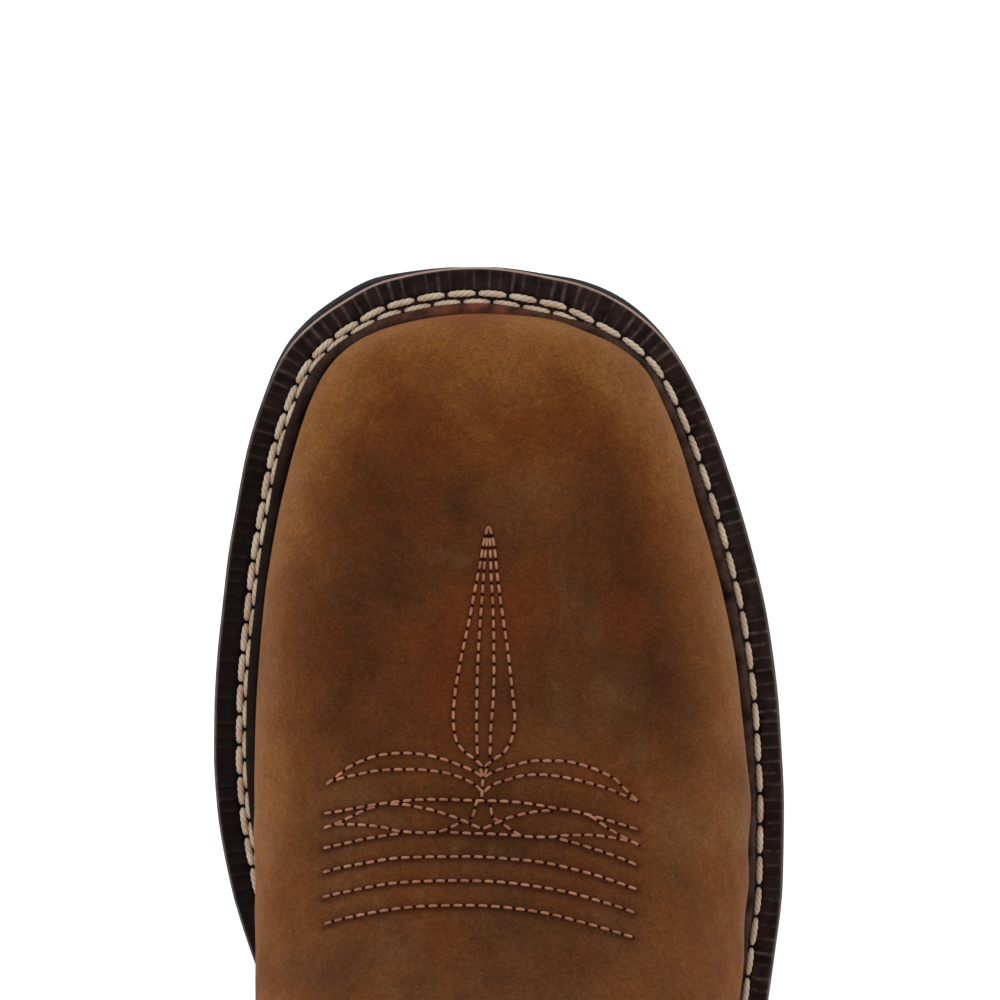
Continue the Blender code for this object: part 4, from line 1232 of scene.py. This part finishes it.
def stitches(name, tracks, material, slot, pitch, cover, radius, sink, twist=0.0, phase=0.0, rings=7,
             sides=8, apart=0.0):
    """Many short stitches as one mesh, laid end to end along tracks of points with their ways up.

    A stitch closer than apart to an earlier track is left out, so that lines that meet stay clear. A track
    may bring its own run, which the stitches then keep to.
    """
    t = (1 - np.cos(np.linspace(0.08, math.pi - 0.08, rings))) / 2
    t = (t - t[0]) / (t[-1] - t[0])
    profile = np.sqrt(1 - np.abs(2 * t - 1) ** 4.0 * 0.88)
    bow = np.sin(math.pi * np.clip(t, 0.001, 0.999)) ** 0.45
    angle = np.linspace(0, 2 * math.pi, sides, endpoint=False)
    strand = np.cos(3 * angle[None, :] - twist * 2 * math.pi * t[:, None])
    size = radius * profile[:, None] * (1 + (0.09 if twist else 0) * strand)
    local = grid_faces(rings, sides, True)
    points_out, faces, laid, start = [], [], [], 0
    for points, normals, *given in tracks:
        if given:
            run, real = given[0], pitch
            order = np.arange(math.ceil(run[0] / real - phase), math.floor(run[-1] / real - phase))
        else:
            run = run_along(points)
            real = run[-1] / max(1, round(run[-1] / pitch))
            order = np.arange(max(1, round(run[-1] / real - phase)))
        at = (order[:, None] + phase + (1 - cover) / 2 + cover * t[None, :]) * real
        at = np.clip(at, run[0], run[-1])
        if laid:
            middle = read_line(points, run, at.mean(axis=1))
            near = np.array([min(tree.find(Vector(p))[2] for tree in laid) for p in middle])
            at = at[near > apart]
        if apart:
            laid.append(cloud(points))
        if not len(at):
            continue
        centre = read_line(points, run, at)
        up = unit(read_line(normals, run, at))
        ahead = unit(centre[:, -1:] - centre[:, :1]) * np.ones_like(centre)
        across = unit(np.cross(ahead, up))
        centre = centre + up * (radius * (bow * 0.9 - sink))[None, :, None]
        ring = (
            centre[:, :, None, :]
            + across[:, :, None, :] * (size * np.cos(angle))[None, :, :, None]
            + up[:, :, None, :] * (size * np.sin(angle))[None, :, :, None]
        )
        points_out.append(ring.reshape(-1, 3))
        for _ in at:
            faces += (local + start).tolist()
            faces.append(list(range(start, start + sides))[::-1])
            faces.append(list(range(start + (rings - 1) * sides, start + rings * sides)))
            start += rings * sides
    thing = add_mesh(name, np.concatenate(points_out), faces, material)
    # strand marks where the twisted plies meet, which the thread darkens as painted shade
    marks = strand if twist else np.ones(strand.shape)
    set_values(thing, strand=np.tile(marks.ravel(), start // strand.size))


class Ground:
    """The surface of finished pieces, which stitches are laid on."""

    def __init__(self, *things):
        points, faces = [], []
        for thing in things:
            start = len(points)
            points += [v.co - Vector(SHIFT) for v in thing.data.vertices]
            faces += [tuple(start + i for i in polygon.vertices) for polygon in thing.data.polygons]
        self.tree = BVHTree.FromPolygons(points, faces)

    def from_above(self, plan):
        """A track under plan points, and the ways out of the surface, smoothed."""
        points, normals = [], []
        for x, y in plan:
            place, normal, _, _ = self.tree.ray_cast(Vector((x, y, 0.30)), Vector((0, 0, -1)))
            if place:
                points.append(place)
                normals.append(normal if normal.z > 0 else -normal)
        return np.array(points), smoothed(np.array(normals))

    def onto(self, points, normals):
        """A track moved to the nearest places of the surface."""
        places, ways = [], []
        for point, way in zip(points, normals):
            place, normal, _, _ = self.tree.find_nearest(Vector(point))
            places.append(place)
            ways.append(normal if normal.dot(Vector(way)) > 0 else -normal)
        return np.array(places), smoothed(np.array(ways))


def smoothed(normals):
    """Directions averaged with their neighbours."""
    result = normals.copy()
    for _ in range(3):
        result[1:-1] = result[:-2] + result[1:-1] + result[2:]
        result = unit(result)
    return result


def edge_track(points, normals, distance):
    """A line a distance to the right of an edge, seen from outside, and the ways out along it."""
    run = run_along(points)
    even = np.linspace(0, 1, max(8, int(run[-1] / EDGE_SPACING)))
    line = resample(points, even)
    ways = unit(read_line(normals, run, even * run[-1]))
    inward = unit(np.cross(unit(np.gradient(line, axis=0)), ways))
    return line + inward * distance, ways


def line_edge(skin, columns):
    """The vamp and counter line over columns, and the ways out of the surface there."""
    line = skin.line[columns]
    points = skin.grid(columns, np.stack([line - 0.001, line, line + 0.001]))
    return points[1], grid_normals(points)[1]


def slab(name, rings, material, fold=0):
    """A slab from its bottom loop to its top loop, closed by strips from side to side.

    The first point of a loop faces itself for fold 0, and the last point for fold 1.
    """
    count = len(rings[0])
    faces = grid_faces(len(rings), count, True).tolist()
    for start in (0, (len(rings) - 1) * count):
        for i in range(count // 2):
            other = count - i - fold
            strip = [start + i, start + i + 1, start + (other - 1) % count, start + other % count]
            faces.append(list(dict.fromkeys(strip)))
    thing = add_mesh(name, np.concatenate(rings), faces, material, 35)
    face_out(thing)
    return thing


def cut_grooves(thing, places, bottom, loop, material):
    """Straight grooves across the underside, each kept inside the edge by the groove margin."""
    lateral, medial = split(loop)
    points, faces = [], []
    for back in places:
        outer = np.interp(back, -lateral[:, 1], lateral[:, 0]) - GROOVE_MARGIN
        inner = np.interp(back, -medial[:, 1], medial[:, 0]) + GROOVE_MARGIN
        roof = float(bottom(np.array(back))) + GROOVE_DEPTH
        start = len(points)
        for z in (roof - 4 * GROOVE_DEPTH, roof):
            for x, side in ((inner, -1), (outer, -1), (outer, 1), (inner, 1)):
                points.append((x, -back + side * GROOVE_WIDTH / 2, z))
        faces += [[start + i for i in face] for face in BOX_FACES]
    name = thing.name + "_grooves"
    cutter = link(name, new_mesh(name, points, faces, material))
    face_out(cutter)
    cut = thing.modifiers.new("grooves", "BOOLEAN")
    cut.operation = "DIFFERENCE"
    cut.solver = "EXACT"
    cut.object = cutter
    bpy.context.view_layer.update()
    graph = bpy.context.evaluated_depsgraph_get()
    mesh = bpy.data.meshes.new_from_object(thing.evaluated_get(graph))
    thing.modifiers.clear()
    thing.data = mesh
    bpy.data.objects.remove(cutter)


def make_midsole(material):
    """The midsole's thin line round the welt, pale at the toe by a painted highlight."""
    edge = station_loop(grown(SOLE_LOOP, MIDSOLE_LIP))
    inner = station_loop(grown(SOLE_LOOP, MIDSOLE_LIP - 0.0005))
    rings = [
        raised(inner, midsole_bottom),
        raised(edge, midsole_bottom, 0.0005),
        raised(edge, midsole_top, -0.0005),
        raised(inner, midsole_top),
    ]
    midsole = slab("midsole_edge", rings, material)
    # pale: a painted highlight at the toe and its corners
    set_values(midsole, pale=0.15 + 0.75 * smoothstep(0.024, 0.010, -np.stack(rings)[..., 1]))
    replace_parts(midsole, "midsole")


def make_outsole(material):
    """The rubber outsole with a groove round its side and grooves across its underside."""
    edge = grown(SOLE_LOOP, MIDSOLE_LIP + OUTSOLE_LIP * by_side(SOLE_LOOP, LIP_TABLE))
    rings = [
        raised(station_loop(grown(edge, -inset)), height, extra)
        for inset, height, extra in (
            (0.0016, ground, 0.0),
            (0.0005, ground, 0.0003),
            (0.0, ground, 0.0013),
            (0.0, ground, 0.0026),
            (0.00035, ground, 0.0029),
            (0.00035, ground, 0.0033),
            (0.0, ground, 0.0036),
            (0.0, outsole_top, -0.0006),
            (0.0006, outsole_top, 0.0),
        )
    ]
    outsole = slab("outsole_rubber", rings, material)
    first = SOLE_LENGTH * FLAT_FROM_TOE[0] / 2
    count = int((SOLE_LENGTH * FLAT_FROM_TOE[1] - first) / GROOVE_PITCH)
    cut_grooves(outsole, [first + GROOVE_PITCH * i for i in range(count + 1)], ground, SOLE_LOOP, material)
    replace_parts(outsole, "outsole")


def heel_loop(inset):
    """Plan loop of the heel behind its breast, moved in by a distance."""
    sides = []
    for side in split(grown(SOLE_LOOP, -inset)):
        start = np.interp(HEEL_BREAST, -side[:, 1], side[:, 0])
        behind = side[-side[:, 1] > HEEL_BREAST + 1e-4]
        line = np.concatenate([[[start, -HEEL_BREAST]], behind])
        even = np.linspace(0, 1, OUTLINE_POINTS // 2)
        sides.append(resample(line, 0.6 * even + 0.4 * np.sin(even * math.pi / 2)))
    return np.concatenate([sides[0], sides[1][-2::-1]])


def heel_slice(name, levels, material):
    """A slice of the heel from rings of height and extra inset, drawn in towards the ground."""
    rings = []
    for z, inset in levels:
        loop = heel_loop(HEEL_TAPER * (1 - z / HEEL_HEIGHT) + inset)
        loop[-loop[:, 1] < HEEL_BREAST + 1e-5, 1] -= inset
        rings.append(np.column_stack([loop, np.full(len(loop), z)]))
    return slab(name, rings, material, 1)


def make_heel(stack, rubber):
    """The heel's stacked layers, and the top piece under them with its grooves."""
    low = LIFT_HEIGHT + GAP
    layer = (HEEL_HEIGHT - low) / HEEL_LAYERS
    levels = []
    for k in range(HEEL_LAYERS):
        start, end = low + layer * k, low + layer * (k + 1)
        levels += [(start, 0.0003), (start + 0.0004, 0.0), (end - 0.0004, 0.0)]
    levels.append((HEEL_HEIGHT, 0.0003))
    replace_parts(heel_slice("heel_stack", levels, stack), "heel_block")
    rounded = [(0.0, 0.0010), (0.0003, 0.0003), (0.0012, 0.0)]
    rounded += [(LIFT_HEIGHT - 0.0006, 0.0), (LIFT_HEIGHT, 0.0005)]
    lift = heel_slice("heel_top_piece", rounded, rubber)
    count = int(0.6 * HEEL_LENGTH / GROOVE_PITCH)
    places = [HEEL_BREAST + GROOVE_PITCH * (i + 1) for i in range(count)]
    cut_grooves(lift, places, np.zeros_like, SOLE_LOOP, rubber)
    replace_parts(lift, "heel_lift")


def sheet(name, middle, thickness, material, tone):
    """A strip round a grid of its middle surface, with edges that draw in and round over."""
    normals = grid_normals(middle)
    across = unit(np.gradient(middle, axis=1)) * 0.7
    from_edge = np.abs(np.linspace(-1, 1, middle.shape[1]))
    half = (thickness / 2 * np.sqrt(np.maximum(1 - from_edge**6, 0.08)))[None, :, None]
    parts = (
        middle + normals * half,
        middle[:, -1:] + across[:, -1:] * half[:, -1:],
        (middle - normals * half)[:, ::-1],
        middle[:, :1] - across[:, :1] * half[:, :1],
    )
    rings = np.concatenate(parts, axis=1)
    rows, count = rings.shape[:2]
    faces = grid_faces(rows, count, True).tolist()
    faces.append(list(range(count)))
    faces.append(list(range((rows - 1) * count, rows * count))[::-1])
    thing = add_mesh(name, rings, faces, material, 60)
    face_out(thing)
    set_values(thing, tone=np.full(rows * count, tone))
    return thing


def make_side_seam(skin, side, material):
    """The raised strip over one side seam of the shaft."""
    columns = strap_columns(skin, side, SEAM_WIDTH)
    rise = np.linspace(0, 1, 110)[:, None]
    low = skin.line[columns] + SEAM_CLEAR
    points = skin.grid(columns, low + (skin.leg[columns] - SEAM_CLEAR - low) * rise)
    crown = SEAM_RISE / 2 * np.cos(np.linspace(-1.1, 1.1, len(columns)))
    middle = points + WAYS[side] * grid_normals(points) * (GAP - OVERLAY + crown)[None, :, None]
    strip = sheet("seam_strip_" + SIDES[side], middle, SEAM_RISE, material, 0.15)
    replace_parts(strip, ("side_seam_lateral", "side_seam_medial")[side])


def strap_path(skin, side):
    """Middle surface of a pull strap: up outside the shaft, over the collar and down inside."""
    columns = strap_columns(skin, side, STRAP_WIDTH)
    share = np.linspace(0, 1, 26)
    leg = skin.leg[columns]
    points = skin.grid(columns, leg + (skin.top[columns] - leg) * share[:, None])
    normals = grid_normals(points) * WAYS[side]
    off = (GAP + STRAP_THICKNESS / 2 + LOOP_BOW * smoothstep(0.3, 1.0, share))[:, None, None]
    outside = points + normals * (off - OVERLAY)
    inside = points - normals * (off + UPPER_WALL)
    middle = (outside[-1] + inside[-1]) / 2
    reach = outside[-1] - middle
    arch = [
        middle + reach * math.cos(angle) + (0, 0, LOOP_RISE * math.sin(angle))
        for angle in np.linspace(0, math.pi, 30)[1:-1]
    ]
    return np.concatenate([outside, np.stack(arch), inside[::-1]])


def make_pull_strap(skin, side, material):
    """One pull strap; returns the tracks of its stitches."""
    path = strap_path(skin, side)
    strap = sheet("strap_" + SIDES[side], path, STRAP_THICKNESS, material, 0.25)
    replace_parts(strap, ("pull_strap_lateral", "pull_strap_medial")[side])
    normals = grid_normals(path) * WAYS[side]
    outer = path + normals * (STRAP_THICKNESS / 2)
    last = path.shape[1] - 1
    inset = int(round(STRAP_INSET / np.linalg.norm(path[0, -1] - path[0, 0]) * last))
    foot = slice(inset, last + 1 - inset)
    tracks = [(outer[1:, c], normals[1:, c]) for c in (inset, last - inset)]
    return tracks + [(outer[row, foot], normals[row, foot]) for row in (1, 3)]


class Nodes:
    """A material's node tree, with short ways to add and join nodes."""

    def __init__(self, name, roughness, gloss=None):
        self.material = bpy.data.materials.new(name)
        self.material.use_nodes = True
        self.tree = self.material.node_tree
        self.shader = self.tree.nodes["Principled BSDF"]
        self.set("Roughness", roughness)
        if gloss is not None:
            self.set("Specular IOR Level", gloss)
        self.place = self.add("ShaderNodeTexCoord").outputs["Object"]

    def set(self, name, value):
        """A value or a link on one of the shader's sockets."""
        self.put(self.shader.inputs[name], value)

    def add(self, kind, settings=(), **inputs):
        node = self.tree.nodes.new(kind)
        for key, value in dict(settings).items():
            setattr(node, key, value)
        for key, value in inputs.items():
            socket = node.inputs[int(key[1:])] if key[0] == "_" else node.inputs[key]
            self.put(socket, value)
        return node

    def put(self, socket, value):
        if isinstance(value, bpy.types.NodeSocket):
            self.tree.links.new(value, socket)
        else:
            socket.default_value = value

    def noise(self, scale, detail=2.0, rough=0.5, stretch=None):
        place = self.place
        if stretch:
            settings = {"operation": "MULTIPLY"}
            place = self.add("ShaderNodeVectorMath", settings, _0=place, _1=stretch).outputs[0]
        node = self.add("ShaderNodeTexNoise", Vector=place, Scale=scale, Detail=detail, Roughness=rough)
        return node.outputs[0]

    def mottle(self, noise, low, high, to_low=0.0, to_high=1.0):
        """Noise of a scale, detail, roughness and stretch, spread from one range to another."""
        return self.spread(self.noise(*noise), low, high, to_low, to_high)

    def cells(self, scale):
        settings = {"feature": "DISTANCE_TO_EDGE"}
        node = self.add("ShaderNodeTexVoronoi", settings, Vector=self.place, Scale=scale)
        return node.outputs["Distance"]

    def value(self, name):
        return self.add("ShaderNodeAttribute", {"attribute_name": name}).outputs["Fac"]

    def sum(self, a, b):
        return self.add("ShaderNodeMath", {"operation": "ADD"}, _0=a, _1=b).outputs[0]

    def times(self, a, b):
        return self.add("ShaderNodeMath", {"operation": "MULTIPLY"}, _0=a, _1=b).outputs[0]

    def spread(self, value, low, high, to_low=0.0, to_high=1.0):
        """A value mapped from one range to another, kept inside it."""
        return self.add("ShaderNodeMapRange", _0=value, _1=low, _2=high, _3=to_low, _4=to_high).outputs[0]

    def mix(self, share, a, b, blend="MIX"):
        """One colour or another by a share; a plain colour is given as it looks on a screen."""
        b = srgb(b) if isinstance(b, tuple) else b
        settings = {"data_type": "RGBA", "blend_type": blend}
        return self.add("ShaderNodeMix", settings, _0=share, _6=a, _7=b).outputs[2]

    def ramp(self, value, *colours):
        """A run of colours at even steps from 0 to 1."""
        node = self.add("ShaderNodeValToRGB", _0=value)
        elements = node.color_ramp.elements
        while len(elements) < len(colours):
            elements.new(0.5)
        for i, (element, colour) in enumerate(zip(elements, colours)):
            element.position = i / (len(colours) - 1)
            element.color = srgb(colour)
        return node.outputs[0]

    def bump(self, height, strength, distance, before=None):
        node = self.add("ShaderNodeBump", Height=height, Strength=strength, Distance=distance)
        if before:
            self.put(node.inputs["Normal"], before)
        return node.outputs[0]

    def finish(self, colour, normal):
        self.set("Base Color", colour)
        self.set("Normal", normal)
        return self.material


def srgb(colour):
    """A colour given from 0 to 255 as it looks on a screen, for a shader's socket."""
    shares = [c / 255 for c in colour]
    linear = [c / 12.92 if c <= 0.0404 else ((c + 0.055) / 1.055) ** 2.4 for c in shares]
    return (*linear, 1.0)


def oiled_leather():
    """Matt oiled leather: dark middle to pale rim by the points' tone, the rim partly burnish and partly
    painted light, with red and grey patches.
    """
    n = Nodes("oiled_leather", 0.62, 0.06)
    tone = n.value("tone")
    broad = n.mottle((26, 2.5, 0.5), 0.32, 0.68, -0.15, 0.15)
    small = n.mottle((110, 4.0, 0.62), 0.30, 0.70, -0.11, 0.11)
    colour = n.ramp(n.sum(n.sum(tone, broad), small), DARK, DARK_RED, WARM, TAN, GOLD)
    colour = n.mix(n.mottle((52, 3.0, 0.6), 0.50, 0.68, 0.0, 0.45), colour, RUST)
    patch = n.times(n.value("patch"), n.mottle((160, 4.0, 0.6), 0.3, 0.65, 0.35, 1.0))
    colour = n.mix(n.spread(patch, 0.0, 1.0, 0.0, 0.9), colour, RUST)
    colour = n.mix(n.spread(patch, 0.0, -1.0, 0.0, 0.9), colour, WORN)
    colour = n.mix(n.mottle((75, 4.0, 0.65, (1.0, 0.6, 1.0)), 0.58, 0.72, 0.0, 0.34), colour, WORN)
    colour = n.mix(n.mottle((120, 3.0, 0.6, (1.0, 0.16, 1.0)), 0.58, 0.75, 0.0, 0.16), colour, WORN)
    fleck = n.mottle((2400, 2.0, 0.7), 0.32, 0.68, 0.72, 1.24)
    pores = n.mottle((900, 3.0, 0.65), 0.35, 0.65, 0.86, 1.12)
    both = n.times(fleck, pores)
    grey = n.add("ShaderNodeCombineColor", _0=both, _1=both, _2=both).outputs[0]
    colour = n.mix(1.0, colour, grey, "MULTIPLY")
    colour = n.mix(n.times(n.value("shadow"), 0.75), colour, STITCH_SHADOW)
    colour = n.mix(n.spread(tone, -0.9, -0.2, 0.75, 0.0), colour, RAW_EDGE)
    normal = n.bump(n.noise(1500, 3.0, 0.6), 0.35, 0.00025)
    normal = n.bump(n.cells(1100), 0.18, 0.00015, normal)
    normal = n.bump(n.noise(220, 3.0, 0.5), 0.30, 0.0006, normal)
    n.set("Roughness", n.mottle((90, 3.0, 0.6), 0.3, 0.7, 0.62, 0.84))
    return n.finish(colour, normal)


def plain_leather(name, dark, pale, roughness, gloss=None):
    """Smooth leather in one colour with mottling and a fine grain."""
    n = Nodes(name, roughness, gloss)
    shade = n.sum(n.mottle((60, 4.0, 0.6), 0.3, 0.7), n.mottle((600, 3.0, 0.6), 0.3, 0.7, -0.2, 0.2))
    normal = n.bump(n.cells(1300), 0.3, 0.00012)
    normal = n.bump(n.noise(260, 3.0, 0.5), 0.3, 0.0004, normal)
    return n.finish(n.ramp(shade, dark, pale), normal)


def welt_leather():
    """Dark waxed leather, paler where light is painted on the outer side and at the toe and darker in
    painted shade on the inner side, with a painted highlight on the rib crests and a reddish worn patch on
    the bead at the toe.
    """
    n = Nodes("welt_leather", 0.5, 0.07)
    # outer is painted light: paler on the outer side and at the toe, darker in painted shade on the inner
    # side
    shade = n.times(n.mottle((260, 4.0, 0.65), 0.30, 0.70), n.value("outer"))
    # Painted highlight on the rib crests, dimmer where the inner side is in painted shade
    crest_highlight = n.times(n.spread(n.value("rib"), 0.25, 0.9), n.mottle((420, 3.0, 0.7), 0.36, 0.62))
    strip = n.mix(n.times(crest_highlight, n.value("outer")), n.ramp(shade, WELT_DARK, WELT_PALE), WELT_CREST_HIGHLIGHT)
    worn = n.times(n.value("worn"), n.mottle((330, 4.0, 0.6), 0.34, 0.60))
    bead = n.mix(worn, n.ramp(shade, BEAD_DARK, BEAD_PALE), BEAD_WORN)
    colour = n.mix(n.value("bead"), strip, bead)
    return n.finish(colour, n.bump(n.noise(900, 3.0, 0.6), 0.4, 0.0002))


def midsole_leather():
    """Stripe of leather round the welt: a painted highlight makes it pale at the toe and its corners; dark
    along the sides.
    """
    n = Nodes("midsole_leather", 0.62)
    shade = n.sum(n.value("pale"), n.mottle((300, 3.0, 0.6), 0.3, 0.7, -0.12, 0.12))
    return n.finish(n.ramp(shade, MIDSOLE_DARK, MIDSOLE_PALE), n.bump(n.noise(700, 3.0, 0.6), 0.3, 0.0002))


def thread(name, dark, pale):
    """Waxed thread: a little lighter and darker from stitch to stitch, with fine fibres and painted shade
    where its twisted plies meet.
    """
    n = Nodes(name, 0.75)
    even = n.mottle((240, 2.0, 0.5), 0.3, 0.7, 0.1, 0.9)
    shade = n.sum(even, n.mottle((3800, 2.0, 0.6), 0.3, 0.7, -0.25, 0.25))
    # Painted shade in the grooves where the twisted plies meet
    groove = tuple(0.55 * c for c in dark)
    colour = n.mix(n.spread(n.value("strand"), -0.5, -1.0, 0.0, 0.75), n.ramp(shade, dark, pale), groove)
    return n.finish(colour, n.bump(n.noise(4200, 2.0, 0.6, (1.0, 1.0, 0.5)), 0.5, 0.0001))


def rubber(name, dark, pale):
    """Matt rubber with a fine cast grain."""
    n = Nodes(name, 0.6)
    shade = n.mottle((420, 4.0, 0.65), 0.3, 0.7)
    return n.finish(n.ramp(shade, dark, pale), n.bump(n.noise(1300, 3.0, 0.6), 0.35, 0.0002))


def stacked(name, dark, pale):
    """Heel stack: thin fibre layers that run level."""
    n = Nodes(name, 0.48)
    layers = n.mottle((110, 4.0, 0.6, (0.35, 0.35, 6.0)), 0.3, 0.7)
    shade = n.sum(layers, n.mottle((500, 3.0, 0.6), 0.3, 0.7, -0.2, 0.2))
    normal = n.bump(n.noise(260, 3.0, 0.6, (0.25, 0.25, 7.0)), 0.35, 0.0003)
    return n.finish(n.ramp(shade, dark, pale), normal)


def make_studio():
    """Camera straight over the forefoot, white floor and soft light from all round."""
    camera = bpy.data.cameras.new("camera")
    camera.sensor_width = 36
    camera.lens = camera.sensor_width * (CAMERA_HEIGHT - VIEW_LEVEL) / VIEW_WIDTH
    camera.clip_start = 0.05
    camera.clip_end = 20
    bpy.context.scene.camera = link("camera", camera, (*VIEW_CENTRE, CAMERA_HEIGHT))
    white = Nodes("floor_white", 0.9, 0.1)
    white.set("Base Color", (0.92, 0.92, 0.92, 1))
    white.set("Emission Color", (1, 1, 1, 1))
    white.set("Emission Strength", FLOOR_GLOW)
    corners = [(x * FLOOR_HALF, y * FLOOR_HALF, 0) for x, y in ((-1, -1), (1, -1), (1, 1), (-1, 1))]
    mesh = bpy.data.meshes.new("floor")
    mesh.from_pydata(corners, [], [(0, 1, 2, 3)])
    mesh.materials.append(white.material)
    floor = link("floor", mesh, (0, 0, -FLOOR_DROP))
    world = bpy.data.worlds.new("studio")
    world.use_nodes = True
    background = world.node_tree.nodes["Background"]
    background.inputs["Color"].default_value = (1.0, 1.0, 1.0, 1)
    background.inputs["Strength"].default_value = WORLD_LIGHT
    bpy.context.scene.world = world
    for name, place, size, power in LIGHTS:
        lamp = bpy.data.lights.new(name, "AREA")
        lamp.shape = "DISK"
        lamp.size = size
        lamp.energy = power
        aim = Vector(LIGHT_AIM) - Vector(place)
        link(name, lamp, place).rotation_euler = aim.to_track_quat("-Z", "Y").to_euler()
    bpy.context.scene.view_settings.view_transform = "Standard"


def construction_tracks(skin, ground):
    """Double rows along the vamp's and the counter's top edges and down the counter's front edges."""
    lap = 0.5 - VAMP_LAP
    edges = []
    for columns, way in ((front_columns(skin, lap), -1), (heel_columns(skin, lap), 1)):
        points, normals = line_edge(skin, columns)
        edges.append((points, normals * way, -way))
    start = int(np.flatnonzero(skin.shares >= lap)[0])
    for column, way in ((start, -1), (skin.count - start, 1)):
        levels = np.linspace(0.004, skin.line[column] - 0.004, 60)
        near = skin.grid(range(column - 1, column + 2), np.repeat(levels[:, None], 3, axis=1))
        edges.append((near[:, 1], grid_normals(near)[:, 1], way))
    tracks = []
    for points, normals, way in edges:
        tracks += [ground.onto(*edge_track(points, normals, way * distance)) for distance in EDGE_ROWS]
    return tracks


def seam_tracks(skin, side, ground):
    """A row down each side of the side seam's strip, on the shaft."""
    tracks = []
    near = strap_columns(skin, side, 2 * SEAM_WIDTH)
    for columns in (near[:2], near[-2:]):
        rise = np.linspace(0, 1, 90)[:, None]
        low = skin.line[columns] + SEAM_CLEAR
        points = skin.grid(columns, low + (skin.leg[columns] - 0.001 - low) * rise)
        middle = points.mean(axis=1)
        tracks.append(ground.onto(middle, np.array([WAYS[side], 0, 0]) * np.ones_like(middle)))
    return tracks


def main():
    """The studio, then every piece of the boot and its stitches."""
    make_studio()
    leather = oiled_leather()
    trim = plain_leather("trim_leather", (46, 29, 20), (80, 50, 33), 0.58)
    lining = plain_leather("lining_leather", (150, 116, 84), (186, 150, 112), 0.75)
    insole = plain_leather("insole_leather", (146, 116, 84), (184, 152, 112), 0.8)
    # Painted shade in the needle holes between the pattern stitches
    holes = plain_leather("needle_hole_shade", (46, 20, 12), (58, 27, 16), 0.9, 0.0)
    fine = thread("pattern_thread", (150, 92, 64), (208, 148, 114))
    cream = thread("welt_thread", (218, 182, 154), (255, 240, 214))
    sole_rubber = rubber("outsole_rubber", (26, 27, 31), (52, 54, 61))
    lift_rubber = rubber("lift_rubber", (24, 24, 27), (46, 47, 52))
    skin = Skin()
    vamp = make_vamp(skin, leather)
    counter = make_counter(skin, leather)
    shaft = make_shaft(skin, leather)
    make_lining(skin, lining)
    collar_track = make_binding(skin, trim)
    make_welt(welt_leather())
    make_midsole(midsole_leather())
    make_outsole(sole_rubber)
    make_heel(stacked("heel_stack", (40, 28, 22), (66, 46, 35)), lift_rubber)
    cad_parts["insole"].data.materials[0] = insole
    vamp_ground = Ground(vamp)
    pattern = [vamp_ground.from_above(curve(line)) for line in FLAME + LEAVES + WRINKLES]
    stitches("pattern_stitches", pattern, fine, "pattern_thread", **PATTERN_STITCH)
    stitches("pattern_holes", pattern, holes, "pattern_thread", **PATTERN_HOLE)
    edges = construction_tracks(skin, Ground(vamp, counter))
    stitches("edge_stitches", edges, fine, "pattern_thread", **EDGE_STITCH)
    shaft_ground = Ground(shaft)
    trims = []
    for side in (0, 1):
        make_side_seam(skin, side, trim)
        trims += seam_tracks(skin, side, shaft_ground)
        trims += make_pull_strap(skin, side, trim)
    trims.append(collar_track)
    stitches("trim_stitches", trims, fine, "pattern_thread", **TRIM_STITCH)
    outer, inner = welt_tracks()
    stitches("welt_stitches", [outer], cream, "welt_thread", radius=0.00066, **WELT_STITCH)
    stitches("welt_stitches_inner", [inner], cream, "welt_thread", radius=0.00060, phase=0.5, **WELT_STITCH)


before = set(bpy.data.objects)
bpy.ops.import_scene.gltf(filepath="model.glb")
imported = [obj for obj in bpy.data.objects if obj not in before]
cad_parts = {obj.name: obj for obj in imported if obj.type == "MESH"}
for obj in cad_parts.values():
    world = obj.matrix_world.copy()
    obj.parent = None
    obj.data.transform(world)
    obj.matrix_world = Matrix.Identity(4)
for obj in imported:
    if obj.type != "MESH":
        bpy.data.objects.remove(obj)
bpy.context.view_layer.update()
SHIFT = boot_shift()
main()
